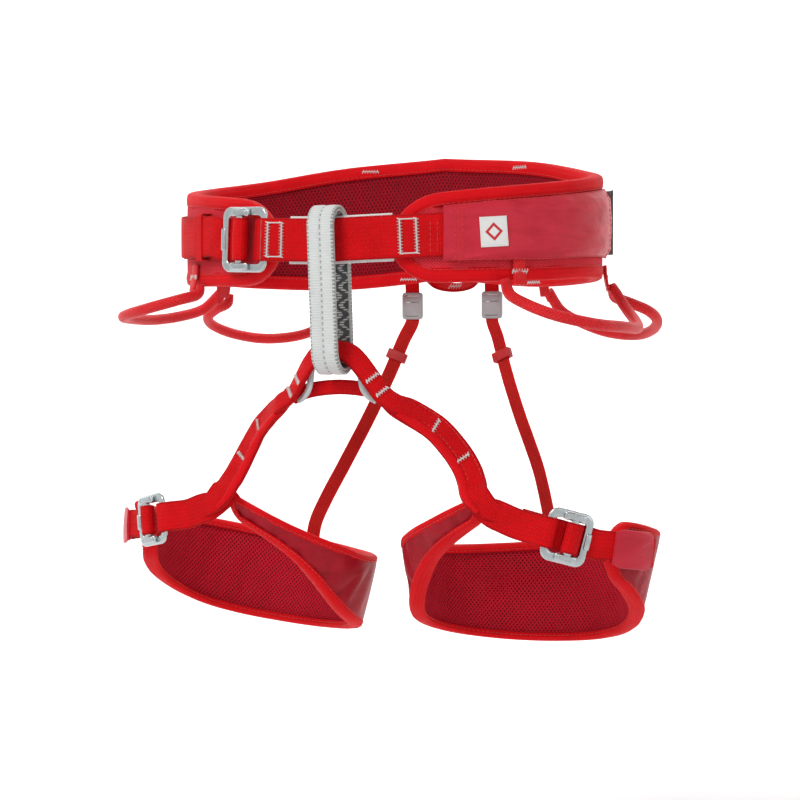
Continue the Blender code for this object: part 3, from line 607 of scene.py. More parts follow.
class Thread:
    """Sewing thread gathered into one mesh: rows of stitches and bar tacks."""

    SIDES = 5

    def __init__(self):
        self.verts, self.faces = [], []

    def strand(self, line, out, radius):
        """A tube along a line on a surface that faces out."""
        first, sides = len(self.verts), self.SIDES
        for i, p in enumerate(line):
            along = heading(line, i)
            side = along.cross(out).normalized()
            up = side.cross(along)
            for k in range(sides):
                turn = 2 * math.pi * k / sides
                self.verts.append(p + (side * math.cos(turn) + up * math.sin(turn)) * radius)
        for i in range(len(line) - 1):
            for k in range(sides):
                m = (k + 1) % sides
                a, b = first + i * sides, first + (i + 1) * sides
                self.faces.append((a + k, a + m, b + m, b + k))
        self.faces.append(tuple(first + k for k in range(sides)))
        self.faces.append(tuple(len(self.verts) - sides + k for k in range(sides)))

    def row(self, points, normals, pitch=3.4, length=2.5, radius=0.34, closed=False):
        """Stitches along a line: each one rises out of the cloth and sinks again."""
        line = points + points[:1] if closed else points
        facing = normals + normals[:1] if closed else normals
        at = lengths(line)
        spot, k = 0.6, 0
        while spot + length < at[-1]:
            found = []
            for share, rise in ((0, -0.35), (0.25, 0.12), (0.75, 0.12), (1, -0.35)):
                where = spot + length * share
                while at[k + 1] < where:
                    k += 1
                t = (where - at[k]) / max(at[k + 1] - at[k], 1e-6)
                out = facing[k].lerp(facing[k + 1], t).normalized()
                found.append(line[k].lerp(line[k + 1], t) + out * rise)
            while k and at[k] > spot + pitch:
                k -= 1
            self.strand(found, out, radius)
            spot += pitch

    def tack(self, centre, along, out, length, width, radius=0.52):
        """A bar tack: a zigzag over a core, turning every millimetre, of a length along it and a width."""
        along = (along - out * along.dot(out)).normalized()
        side = out.cross(along)
        count = max(int(length), 4)
        line = []
        for k in range(count + 1):
            shift = -length / 2 + length * k / count
            line.append(centre + along * shift + side * (width / 2 * (1 if k % 2 else -1)) + out * 0.15)
        self.strand(line, out, radius)
        core = [centre + along * (length * (k / 8 - 0.5)) for k in range(9)]
        self.strand(core, out, radius * 1.1)

    def finish(self, name, mat, body, slot):
        corners = [[(0.0, 0.0)] * len(face) for face in self.faces]
        return attach(new_object(name, self.verts, self.faces, corners, [mat]), slot, body)


# ---------------------------------------------------------------- pads
class Band:
    """A pad's surface: where along it (an angle), how far up it (-1 to 1) and how far out of it."""

    def __init__(self, centre, a, b, start, end, edges, turn, tips, taper=0.0, side=1):
        self.centre, self.a, self.b, self.start, self.end = centre, a, b, start, end
        self.edges, self.turn, self.tips, self.taper, self.side = edges, turn, tips, taper, side

    def normal(self, angle):
        r = math.radians(angle)
        return Vector((math.cos(r) / self.a, math.sin(r) / self.b, 0)).normalized()

    def arc(self, angle):
        """Millimetres of the plan curve for one degree, at this angle."""
        r = math.radians(angle)
        return math.hypot(self.a * math.sin(r), self.b * math.cos(r)) * math.pi / 180

    def heights(self, angle):
        where = self.turn(angle)
        return table(self.edges, where, 1), table(self.edges, where, 2)

    def point(self, angle, up, out, grow=0.0):
        """up is from -1 at the lower edge to 1 at the upper one. grow widens the pad at both edges."""
        top, bottom = self.heights(angle)
        z = (top + bottom) / 2 + up * ((top - bottom) / 2 + grow)
        r = math.radians(angle)
        p = Vector((self.centre[0] + self.a * math.cos(r), self.centre[1] + self.b * math.sin(r), z))
        p += self.normal(angle) * (out - self.taper * (1 - up) / 2)
        return mirrored(p, self.side)

    def locate(self, p):
        """The angle and height up (-1 to 1) of the surface next to p, which is in the band's own side."""
        turn = math.degrees(math.atan2((p.y - self.centre[1]) / self.b, (p.x - self.centre[0]) / self.a))
        middle = (self.start + self.end) / 2
        angle = turn + 360 * round((middle - turn) / 360)
        up = 0.0
        for _ in range(5):
            top, bottom = self.heights(angle)
            up = (2 * p.z - top - bottom) / (top - bottom)
            off = p - mirrored(self.point(angle, up, 0), self.side)
            tangent = self.normal(angle).cross(Vector((0, 0, -1)))
            angle += off.dot(tangent) / self.arc(angle)
        return angle, up

    def onto(self, p, out):
        angle, up = self.locate(p)
        return self.point(angle, up, out)

    def stations(self, count, inset=0.0):
        """(angle, share of the full height) along the pad, closer together round its ends."""
        first = self.start + self.tips[0] / self.arc(self.start)
        last = self.end - self.tips[1] / self.arc(self.end)
        tip0 = first - self.start - inset / self.arc(self.start)
        tip1 = self.end - last - inset / self.arc(self.end)
        turns = [math.radians(t) for t in (8, 22, 36, 50, 64, 78)]
        found = [(first - tip0 * math.cos(t), math.sin(t)) for t in turns]
        found += [(first + (last - first) * k / count, 1.0) for k in range(count + 1)]
        found += [(last + tip1 * math.cos(t), math.sin(t)) for t in reversed(turns)]
        return found


def waist_band():
    return Band(
        (0, 0), WAIST_A, WAIST_B, WAIST_START, WAIST_END, WAIST_EDGES,
        lambda angle: abs(angle - 90), (WAIST_TIP, WAIST_TIP),
    )


def leg_edges(side):
    """Heights of a leg loop's edges. The lower edge hangs lower in its middle on one side."""
    found = []
    for angle, top, low in LEG_EDGES:
        share = (angle - LEG_START) / (LEG_END - LEG_START)
        found.append((angle, top, low - LEG_DROP[side] * math.sin(math.pi * share)))
    return found


def leg_band(side):
    return Band(
        (LEG_X, LEG_Y), LEG_A, LEG_B, LEG_START, LEG_END, leg_edges(side), lambda angle: angle,
        (LEG_TIP_OUTER, LEG_TIP_INNER), LEG_TAPER, side,
    )


def waist_line(band, angle, out, lift=0.0):
    """A point and normal on the line of the load-bearing webbing, a distance out of the pad."""
    r = math.radians(angle)
    p = Vector((WAIST_A * math.cos(r), WAIST_B * math.sin(r), 0)) + band.normal(angle) * out
    p.z = table(WEBBING_LINE, abs((angle - 90 + 180) % 360 - 180)) + lift
    return p, band.normal(angle)


PAD_ROWS = 14
PAD_CROWNS = (0.9, 0.5)  # how far the inner and outer faces bulge before the simulation


def pad(name, band, count, mats, swell):
    """A crowned cushion with a mesh lining inside and outer cloth outside, blown up by cloth simulation.

    swell is how far its inner and outer faces may stand from where they lie flat.
    """
    stations = band.stations(count, EDGE_GAP)
    rows = PAD_ROWS
    ups = [math.sin(math.pi / 2 * (2 * k / rows - 1)) for k in range(rows + 1)]
    rings, us = [], [0.0]
    for i, (angle, share) in enumerate(stations):
        inner, outer = [], []
        for up in ups:
            crown = (1 - up * up) * share
            depths = (PAD_INNER - PAD_CROWNS[0] * crown, PAD_OUTER + PAD_CROWNS[1] * crown)
            for face, out in zip((inner, outer), depths):
                face.append(band.point(angle, up * share, out, -EDGE_GAP * share))
        rings.append(inner + list(reversed(outer)))
        if i:
            us.append(us[-1] + (rings[i][rows // 2] - rings[i - 1][rows // 2]).length)
    reach = [u * 40.0 for u in ups]
    vs = reach + list(reversed(reach)) + [reach[0]]
    picks = [0] * rows + [1] * (rows + 2)
    made = skin(name, rings, us, vs, mats, picks=picks)
    n = len(rings[0])
    # The rim is held: three rings at each end, and two rows along each edge of both faces.
    held = [
        i * n + k for i in range(len(rings)) for k in range(n)
        if i < 3 or i > len(rings) - 4 or k % (rows + 1) in (0, 1, rows - 1, rows)
    ]
    puff(made, held, band, swell)
    return made


CLOTH = {
    "quality": 6, "mass": 0.2, "tension_stiffness": 20, "compression_stiffness": 20, "shear_stiffness": 6,
    "bending_stiffness": 0.4, "vertex_group_mass": "held", "use_pressure": True,
    "uniform_pressure_force": 4.0, "shrink_min": -0.03,
}
CLOTH_FRAMES = 20
CLOTH_DRIFT = 1.0  # the most that a point may move along the pad's surface


def puff(made, held, band, swell):
    """Blows a pad up with the cloth simulation while its rim is held, and limits how far each point goes."""
    group = made.vertex_groups.new(name="held")
    group.add(held, 1.0, "REPLACE")
    cloth = made.modifiers.new("puff", "CLOTH")
    for key, value in CLOTH.items():
        setattr(cloth.settings, key, value)
    cloth.settings.effector_weights.gravity = 0.0
    cloth.collision_settings.use_collision = False
    scene = bpy.context.scene
    for frame_number in range(1, CLOTH_FRAMES + 1):
        scene.frame_set(frame_number)
    blown = made.evaluated_get(bpy.context.evaluated_depsgraph_get()).data
    moved = [v.co.copy() for v in blown.vertices]
    for vertex, target in zip(made.data.vertices, moved):
        here = mirrored(vertex.co / MM, band.side)
        angle, _ = band.locate(here)
        normal = mirrored(band.normal(angle), band.side)
        shift = (target - vertex.co) / MM
        out = min(max(shift.dot(normal), -swell[0]), swell[1])
        flat = shift - normal * shift.dot(normal)
        flat *= min(1.0, CLOTH_DRIFT / max(flat.length, 1e-6))
        vertex.co = vertex.co + (normal * out + flat) * MM
    made.modifiers.remove(cloth)
    scene.frame_set(1)


def points_out(band, direction, angle, share):
    """Whether a direction at the outline leads away from the middle of the pad."""
    if abs(share) > 0.8:
        return direction.z * share > 0
    ahead = mirrored(band.point(angle + 1, 0, 0) - band.point(angle - 1, 0, 0), band.side)
    return (direction.dot(ahead) > 0) == (angle > (band.start + band.end) / 2)


def outline(band, count):
    """(point, way out in the surface, depth of the tape) round a pad's edge, in the band's own side."""
    stations = band.stations(count)
    edge = stations + [(a, -s) for a, s in reversed(stations)]
    middle = (PAD_INNER + PAD_OUTER) / 2

    def at(angle, up):
        return mirrored(band.point(angle, up, middle), band.side)

    line = [at(a, s) for a, s in edge]
    found = []
    for i, (angle, share) in enumerate(edge):
        along = (line[(i + 1) % len(line)] - line[i - 1]).normalized()
        facing = (at(angle + 1, share) - at(angle - 1, share)).cross(at(angle, 1) - at(angle, -1))
        outwards = along.cross(facing).normalized()
        if not points_out(band, outwards, angle, share):
            outwards = -outwards
        top, bottom = band.heights(angle)
        depth = max(min(TAPE_WIDTH, 0.3 * (top - bottom), 0.6 * min(band.tips) + 1.5), 4.6)
        found.append((line[i], outwards, depth))
    return found


def edge_tape(name, band, count, mats, body):
    """Padded tape folded over a pad's whole edge and sewn through, with its row of stitches."""
    around = outline(band, count)
    us = lengths([p for p, _, _ in around], closed=True)
    rings = []
    for (p, outwards, depth), u in zip(around, us):
        puffy = 0.28 * ripple(u, 3.0)
        inner, outer = TAPE_INNER - puffy, TAPE_OUTER + puffy
        fold = [
            (-depth, 1.7), (-depth + 0.5, 0.75), (-depth + 1.5, 0.62), (-depth + 2.6, 0.2), (-depth * 0.5, 0),
            (-1.2, 0.7), (0.0, 2.4),
        ]
        section = [(e, inner + rise) for e, rise in fold] + [(0.25, 2.5)]
        section += [(e, outer - rise) for e, rise in reversed(fold)]
        section += [(-depth + 0.8, PAD_OUTER - 0.2), (-2.2, PAD_OUTER - 0.6)]
        section += [(-2.2, PAD_INNER + 0.6), (-depth + 0.8, PAD_INNER + 0.2)]
        rings.append([band.onto(p + outwards * e, n) for e, n in section])
    vs = lengths([Vector((e, n, 0)) for e, n in section], closed=True)
    made = skin(name, rings, us, vs, [mats["binding"]], closed=True, rims=[3.0] * len(section))
    sewn = Thread()
    for out, facing in ((TAPE_OUTER - 0.45, 1), (TAPE_INNER + 0.45, -1)):
        line = [band.onto(p - outwards * (depth - 1.6), out) for p, outwards, depth in around]
        normals = [mirrored(band.normal(band.locate(p)[0]), band.side) * facing for p, _, _ in around]
        sewn.row(line, normals, closed=True)
    sewn.finish(name + "_stitches", mats["red_thread"], body, "binding")
    return attach(made, "binding", body)


# ---------------------------------------------------------------- buckles
def frame_at(origin, along, out):
    """A place whose X runs along the strap, Z points away from the wearer and Y lies across the strap."""
    x = Vector(along).normalized()
    z = (Vector(out) - x * Vector(out).dot(x)).normalized()
    place = Matrix((x, z.cross(x), z)).transposed().to_4x4()
    place.translation = Vector(origin)
    return place


def shifted(place, x, y, z):
    return place @ Matrix.Translation((x, y, z))


def rounded_outline(length, height, radius, centre=(0, 0), steps=6):
    """Points round a rectangle with rounded corners."""
    found = []
    for cx, cy, turn in ((1, 1, 0), (-1, 1, 90), (-1, -1, 180), (1, -1, 270)):
        for k in range(steps + 1):
            a = math.radians(turn + 90 * k / steps)
            x = centre[0] + cx * (length / 2 - radius) + radius * math.cos(a)
            y = centre[1] + cy * (height / 2 - radius) + radius * math.sin(a)
            found.append(Vector((x, y, 0)))
    return found


def ring_plate(name, place, outer, inner, thick, mat, round_edge):
    """A frame between two rounded rectangles (length, height, radius), with rounded edges."""
    t = thick / 2
    rings = []
    for a, b in zip(rounded_outline(*inner), rounded_outline(*outer)):
        width = (b - a).length
        side = (b - a) / max(width, 1e-6)
        r = min(round_edge, width / 2.2, t * 0.95)
        section = []
        for quarter, (x, z) in enumerate(((width - r, t - r), (r, t - r), (r, r - t), (width - r, r - t))):
            for k in range(4):
                q = math.radians(90 * (quarter + k / 3))
                section.append(a + side * (x + r * math.cos(q)) + UP * (z + r * math.sin(q)))
        rings.append([place @ p for p in section])
    us = lengths([r[0] for r in rings], closed=True)
    return skin(name, rings, us, lengths(rings[0], closed=True), [mat], closed=True)


def lozenge(name, place, size, mat, bevel, taper=0.0):
    """A moulded block of size (along, across, thick) with rounded edges, narrower at one end by taper."""
    bm = bmesh.new()
    bmesh.ops.create_cube(bm, size=1.0)
    bmesh.ops.scale(bm, vec=Vector(size), verts=bm.verts)
    for v in bm.verts:
        if v.co.x > 0:
            v.co.y *= 1 - taper
            v.co.z *= 1 - taper * 0.6
    edges = list(bm.edges)
    bmesh.ops.bevel(bm, geom=edges, offset=bevel, segments=4, profile=0.5, affect="EDGES", clamp_overlap=True)
    verts = [place @ v.co for v in bm.verts]
    faces = [[v.index for v in f.verts] for f in bm.faces]
    corners = [[(v.co.x, v.co.y) for v in f.verts] for f in bm.faces]
    bm.free()
    return new_object(name, verts, faces, corners, [mat])


def join(name, parts):
    """Several objects joined into one piece."""
    bpy.ops.object.select_all(action="DESELECT")
    for part in parts:
        part.select_set(True)
    bpy.context.view_layer.objects.active = parts[0]
    bpy.ops.object.join()
    parts[0].name = name
    return parts[0]


def buckle_routes(place, web):
    """Routes of the adjustable and the fixed strap through a double-back buckle, as in the CAD part.

    Each row is (along the strap, away from the wearer) of a point, then the same of its normal.
    """
    near, far = -(web + 10) / 2, (web + 10) / 2
    adjustable = [
        (near - 8, -0.9, 0, -1), (near, -0.8, 0, -1), (near + 6, -0.5, 0.1, -1), (-2.5, 0.4, 0.4, -1),
        (0.4, 1.9, 0.8, -0.6), (1.6, 5.0, 1, 0), (1.0, 7.7, 0.8, 0.6), (-0.6, 8.7, 0.3, 1), (-2.5, 8.9, 0, 1),
        (-4.4, 8.6, -0.3, 1), (-6.4, 7.0, -0.6, 0.8), (-8.2, 4.8, -0.6, 0.8), (near + 9, 2.2, -0.4, 1),
        (near + 6, 1.1, -0.1, 1), (near + 1, 0.9, 0, 1),
    ]
    fixed = [
        (far - 12, -0.6, 0, -1), (far - 8.0, 0.4, -0.5, -1), (far - 6.7, 3.0, -1, 0),
        (far - 6.0, 5.0, -0.8, 0.6), (far - 4.4, 5.9, -0.3, 1), (far - 2.5, 6.1, 0, 1),
        (far - 0.5, 5.9, 0.3, 1), (far + 1.5, 5.2, 0.4, 1), (far + 6, 3.2, 0.2, 1),
    ]
    turned = place.to_3x3()

    def route(rows):
        return [(place @ Vector((s, 0, h)), turned @ Vector((ns, 0, nh))) for s, h, ns, nh in rows]

    return route(adjustable), route(fixed)


def buckle(prefix, place, web, metal, frame_body, bar_body):
    """The buckle's frame and its sliding bar, in polished aluminium."""
    length, height = web + 10, web + 15
    at = shifted(place, 0, 0, 3.05)
    window = (length - 10, web + 3, 2.6)
    ring = ring_plate(prefix + "_buckle", at, (length, height, 6.5), window, 2.5, metal, 1.1)
    at = shifted(place, -length / 2 + 1.4, 0, 3.6)
    tab = lozenge(prefix + "_buckle_tab", at, (4.2, web * 0.55, 3.2), metal, 1.3)
    ring = join(prefix + "_buckle_ring", [ring, tab])
    attach(ring, "buckle_metal", frame_body, prefix + "_buckle_frame")
    at = shifted(place, -2.5, 0, 5.95)
    parts = [lozenge(prefix + "_bar", at, (5.0, height - 5, 2.6), metal, 1.1)]
    for y in (height / 2 - 3.9, 3.9 - height / 2):
        at = shifted(place, -2.0, y, 5.9)
        parts.append(lozenge(prefix + "_end", at, (15.0, 5.4, 3.1), metal, 1.45))
        at = shifted(place, -2.0, y, 7.2)
        parts.append(ring_plate(prefix + "_rim", at, (11.5, 3.9, 1.9), (9.4, 2.0, 0.95), 1.0, metal, 0.3))
    attach(join(prefix + "_sliding_bar", parts), "buckle_metal", bar_body, prefix + "_buckle_bar")


# ---------------------------------------------------------------- waist belt
def tail_line(band, turn, out):
    """A point and normal on the arc of the waist strap's loose end: turn is 0 at its far end."""
    start, n0 = waist_line(band, TAIL_START, out)
    normal = Matrix.Rotation(math.radians(turn - TAIL_TURN), 3, "Z") @ n0
    p = start + (normal - n0) * TAIL_RADIUS
    p.z = TAIL_HEIGHT
    return p, normal


def build_waist(mats):
    """The waist belt: its pad, straps, buckle, sleeve, labels and stitches."""
    band = waist_band()
    cushion = pad("waist_pad", band, 120, [mats["lining"], mats["spacer"]], (4.5, 1.2))
    attach(cushion, "outer_fabric", "waist_belt", "waist_foam", "waist_lining", "waist_outer_shell")
    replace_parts(edge_tape("waist_edge_tape", band, 110, mats, "waist_belt"), "waist_binding")
    half = WEB_THICK / 2

    def lying(angles, layer):
        return [waist_line(band, angle, layer + half) for angle in angles]

    def strap(name, node, route, width=WAIST_WEB, steps=3):
        made = ribbon(name, route, width, WEB_THICK, mats["webbing"], steps=steps)
        attach(made, "webbing", "waist_belt", node)

    (origin, out), (ahead, _) = lying((WAIST_BUCKLE_ANGLE, WAIST_BUCKLE_ANGLE + 4), MAIN_LAYER + 0.9)
    place = frame_at(origin, ahead - origin, out)
    adjustable, fixed = buckle_routes(place, WAIST_WEB)
    buckle("waist", place, WAIST_WEB, mats["metal"], "waist_belt", "waist_buckle_bar_body")

    strap("load_webbing", "waist_load_webbing", lying(range(-44, 227, 6), MAIN_LAYER))
    near = lying((226.3, 230), MAIN_LAYER)
    made = ribbon("adjusting_webbing", near + adjustable, WAIST_WEB, WEB_THICK, mats["webbing"], steps=5)
    bodies = ("waist_belt", "waist_buckle_bar_body")
    stretch(made, "webbing", bodies, near[0][0], adjustable[3][0], "waist_adjusting_strap")

    flipped = [(p, -n) for p, n in lying((270, 266, 262, 258), MAIN_LAYER)]
    front = lying((262, 266, 270, 276, 282, 288), FRONT_LAYER)
    route = flipped + fixed + front + lying((296, 302, 309), MAIN_LAYER)
    strap("front_webbing", "waist_front_strap", route, steps=4)
    sleeve = lying(range(259, 288, 4), TIE_IN_LAYER)
    made = ribbon("tie_in_webbing", sleeve, TIE_IN_WEB, WEB_THICK - 0.2, mats["sleeve_web"])
    attach(made, "pale_webbing", "waist_belt", "tie_in_sleeve")
    tail = [tail_line(band, TAIL_TURN * k / 8, TAIL_LAYER + half) for k in range(9)]
    tail += [(place @ Vector((s, 0, h)), place.to_3x3() @ UP) for s, h in ((-22.5, 1.7), (-17.5, 1.0))]
    strap("loose_end", "waist_strap_tail", tail, WAIST_WEB - 1, steps=4)
    build_keeper(band, mats)
    build_sleeve(band, mats)
    build_labels(band, mats)
    build_waist_tacks(band, smooth_route(route, 8), mats)


def build_keeper(band, mats):
    """An elastic ring round the load webbing and the loose end on the wearer's right."""
    point, normal = tail_line(band, TAIL_TURN - 7.6, TAIL_LAYER)
    rings = []
    for q in rounded_outline(7.6, WAIST_WEB + 2.6, 1.4, (-2.2, 0), 4):
        facing = normal * (q.x + 2.2) * 0.6 + UP * (q.y * 0.1)
        rings.append((point + normal * q.x + UP * q.y, facing))
    made = ribbon("tail_keeper", rings, 9.0, 0.7, mats["webbing"], steps=2, closed=True, crown=0.1)
    attach(made, "elastic", "waist_keeper", "waist_tail_keeper")


SLEEVE_START = -60.0  # degrees round the belt
SLEEVE_SPAN = 70.0
SLEEVE_COUNT = 70
SLEEVE_ROWS = 16
SLEEVE_THICK = 0.9
SLEEVE_PITCH = 2.3  # about the millimetres between two stations


def build_sleeve(band, mats):
    """The outer sleeve over the load webbing on the wearer's left, with folds and its rows of stitches."""
    ups = [math.sin(math.pi / 2 * (2 * row / SLEEVE_ROWS - 1)) for row in range(SLEEVE_ROWS + 1)]
    angles = [SLEEVE_START + SLEEVE_SPAN * k / SLEEVE_COUNT for k in range(SLEEVE_COUNT + 1)]
    rings, us = [], [SLEEVE_PITCH * k for k in range(SLEEVE_COUNT + 1)]
    for k, (angle, travel) in enumerate(zip(angles, us)):
        top, bottom = band.heights(angle)
        upper, lower = top - 9.0, bottom + 13.5
        base, normal = waist_line(band, angle, 0)
        hem = 0.5 * smooth_step((3.0 - min(k, SLEEVE_COUNT - k)) / 2.5)
        over, under = [], []
        for up in ups:
            z = (upper + lower) / 2 + up * (upper - lower) / 2
            drop = smooth_step((abs(z - base.z) - WAIST_WEB / 2) / 12.0)
            out = SLEEVE_LAYER + SLEEVE_THICK - drop * 4.6
            waves = 0.5 * ripple(travel * 1.6 + z * 0.9, z * 2.0) + 0.25 * ripple(travel * 3.1, z * 4)
            fold = smooth_step(1 - abs(up) ** 3) * waves
            here = Vector((base.x, base.y, z))
            over.append(here + normal * (out + fold + hem))
            under.append(here + normal * (out - SLEEVE_THICK + min(fold, 0)))
        rings.append(over + list(reversed(under)))
    reach = [20.0 * up for up in ups]
    made = skin("outer_sleeve", rings, us, reach + list(reversed(reach)) + [reach[0]], [mats["sleeve"]])
    attach(made, "outer_fabric", "waist_belt", "waist_sleeve")

    sewn = Thread()
    for row in (1, SLEEVE_ROWS - 1):
        inner = range(2, SLEEVE_COUNT - 1)
        sewn.row([rings[k][row] for k in inner], [band.normal(angles[k]) for k in inner])
    for column in (3, 5, SLEEVE_COUNT - 3):
        line = rings[column][1:SLEEVE_ROWS]
        sewn.row(line, [band.normal(angles[column])] * len(line))
    sewn.finish("sleeve_stitches", mats["red_thread"], "waist_belt", "outer_fabric")


def centre_uv(made):
    """Puts a label's middle at the origin of its UVs."""
    layer = made.data.uv_layers["UVMap"].data
    values = [loop.uv.x for loop in layer]
    middle = (min(values) + max(values)) / 2
    for loop in layer:
        loop.uv.x -= middle


LABEL_ANGLE = -46.6
LABEL_WIDTH = 16.5
LABEL_HEIGHT = 19.5
LABEL_LAYER = SLEEVE_LAYER + 1.6


def build_labels(band, mats):
    """The pale label sewn on the sleeve round its edge, and the dark patch on the wearer's left side."""
    arc = band.arc(LABEL_ANGLE)
    route = [waist_line(band, LABEL_ANGLE + LABEL_WIDTH / arc * k / 6, LABEL_LAYER) for k in range(-3, 4)]
    made = ribbon("label_patch", route, LABEL_HEIGHT, 0.5, mats["patch"], across=8, crown=0.0)
    centre_uv(made)
    attach(made, "label", "waist_belt")
    sewn = Thread()
    edge = [
        waist_line(band, LABEL_ANGLE + q.x / arc, LABEL_LAYER + 0.25, q.y)
        for q in rounded_outline(LABEL_WIDTH - 1.6, LABEL_HEIGHT - 1.6, 0.6, (0, 0), 2)
    ]
    points, normals = [p for p, _ in edge], [n for _, n in edge]
    sewn.row(points, normals, pitch=1.5, length=1.1, radius=0.16, closed=True)
    sewn.finish("label_patch_stitches", mats["white_thread"], "waist_belt", "label")
    side = [waist_line(band, a, SLEEVE_LAYER + 1.9, 1.5) for a in (13, 18, 23, 28, 33)]
    made = ribbon("side_patch_cloth", side, 44.0, 1.0, mats["black"], across=10, crown=0.0, sway=0.25)
    centre_uv(made)
    attach(made, "label", "waist_belt", "side_label")


def outermost(band, way, angle):
    """The station of a strap at an angle of the belt, on its outermost pass."""
    near = [at for at in way if abs((band.locate(at[0])[0] - angle + 180) % 360 - 180) < 1.3]
    return max(near, key=lambda at: (at[0] - band.onto(at[0], 0)).length)


# Degrees round the belt of the front strap's two pairs of bar tacks, and of the edges of its folded layers.
TACK_ANGLES = ((255.4, 258.8), (289.4, 293.6))
LAYER_ANGLES = (252.3, 253.1, 253.9)


def build_waist_tacks(band, way, mats):
    """The bar tacks and stitches on the waist belt's webbing and edge tape."""
    white, surface = Thread(), WEB_THICK / 2
    for pair in TACK_ANGLES:
        ends = [outermost(band, way, angle) for angle in pair]
        for p, _, across, out in ends:
            white.tack(p + out * (surface + 0.4), across, out, 23.0, 3.2)
        for lift in (11.0, -11.0):
            a, b = [p + across * lift + out * (surface + 0.3) for p, _, across, out in ends]
            white.strand([a, (a + b) / 2, b], ends[0][3], 0.45)
    white.finish("front_bar_tacks", mats["white_thread"], "waist_belt", "webbing")
    folds = Thread()
    for angle in LAYER_ANGLES:
        p, _, across, out = outermost(band, way, angle)
        line = [p + across * (13.0 * (k / 3 - 1)) + out * (surface + 0.4) for k in range(7)]
        folds.strand(line, out, 0.34)
    folds.finish("front_layer_edges", mats["pink_thread"], "waist_belt", "webbing")

    edge = Thread()
    for angle, top in ((63, True), (113, True), (84, False), (101, False), (57, False)):
        high, low = band.heights(angle)
        p, normal = waist_line(band, angle, 0)
        p.z = high - 4.6 if top else low + 3.0
        faces = [(TAPE_INNER - 0.1, -1, 2.6 if top else 2.4)]
        if not top:
            faces.insert(0, (TAPE_OUTER + 0.1, 1, 2.6))
        for out, facing, width in faces:
            edge.tack(p + normal * out, normal.cross(UP), normal * facing, 12.0, width, radius=0.36)
    edge.finish("edge_bar_tacks", mats["white_thread"], "waist_belt", "binding")
    dashed = Thread()
    for angle in (296.6, 298.4):
        lifts = [-11.5 + 23 * k / 8 for k in range(9)]
        line = [waist_line(band, angle, MAIN_LAYER + WEB_THICK + 0.1, lift) for lift in lifts]
        dashed.row([p for p, _ in line], [n for _, n in line])
    dashed.finish("front_stitches", mats["red_thread"], "waist_belt", "webbing")


# ---------------------------------------------------------------- gear loops and haul loop
def build_gear_loops(mats):
    """Four covered hoses, the cloth tabs that hold their ends, and the small loop at the back."""
    band = waist_band()
    for word, side in SIDES:
        for where, points, hang in (("front", GEAR_FRONT, FRONT_HANG[side]), ("rear", GEAR_REAR, 1.0)):
            hung = [mirrored((x, y, (z + 45) * hang - 45), side) for x, y, z in points]
            first, last = [tip * 0.985 + Vector((0, 0, 6.5 + tip.z * 0.015)) for tip in (hung[0], hung[-1])]
            route = [first] + hung[:-1] + [last, hung[-1]]
            made = cord_tube(f"gear_hose_{where}_{word}", route, GEAR_RADIUS, mats["gear"])
            attach(made, "gear_loop", f"gear_{where}_{word}", f"gear_loop_{where}_{word}")
        white = Thread()
        for where, (angle, width) in GEAR_TABS.items():
            normal = mirrored(band.normal(angle), side)

            def lying(z, out):
                p = band.point(angle, 0, out)
                return mirrored((p.x, p.y, z), side)

            route = [(lying(z, out), normal) for z, out in GEAR_TAB_ROUTE]
            made = ribbon(f"gear_tab_cloth_{where}_{word}", route, width, 1.7, mats["gear"], crown=0.5)
            attach(made, "gear_loop", "waist_belt", f"gear_tab_{where}_{word}")
            white.tack(lying(-33.0, 10.5), normal.cross(UP), normal, width + 2.0, 3.2, radius=0.38)
        white.finish(f"gear_bar_tacks_{word}", mats["white_thread"], "waist_belt", "gear_loop")
    made = ribbon("haul_webbing", HAUL_LOOP, 9.0, 1.8, mats["webbing"], steps=6, crown=0.3)
    attach(made, "webbing", "haul", "haul_loop")
    white = Thread()
    lowest, out = Vector(HAUL_LOOP[3][0]), Vector(HAUL_LOOP[3][1]).normalized()
    for face in (out, -out):
        white.tack(lowest + face * 1.1, Vector((1, 0, 0)), face, 9.0, 5.0)
    white.finish("haul_bar_tack", mats["white_thread"], "haul", "webbing")


# ---------------------------------------------------------------- belay loop and tie-in loop
BELAY_RIDGES = [  # (across, rise) over the outer band's face, from one edge to its middle
    (-8.4, 0.35), (-7.4, 0.55), (-6.9, 0.0), (-6.3, 0.5), (-4.0, 0.75), (-1.6, 0.55), (-0.7, -0.1),
]


def belay_section():
    """The outer band's section: two ribbed columns with a valley between them."""
    t, half = BELAY_OUTER_THICK / 2, BELAY_WIDTH / 2
    ridges = BELAY_RIDGES + [(-a, o) for a, o in reversed(BELAY_RIDGES)]
    over = [(a, t + o * 0.55) for a, o in ridges] + [(half, 0.5), (half, -0.4)]
    return over + [(a, -t) for a in (8.4, 4.2, 0, -4.2, -8.4)] + [(-half, -0.4), (-half, 0.5)]


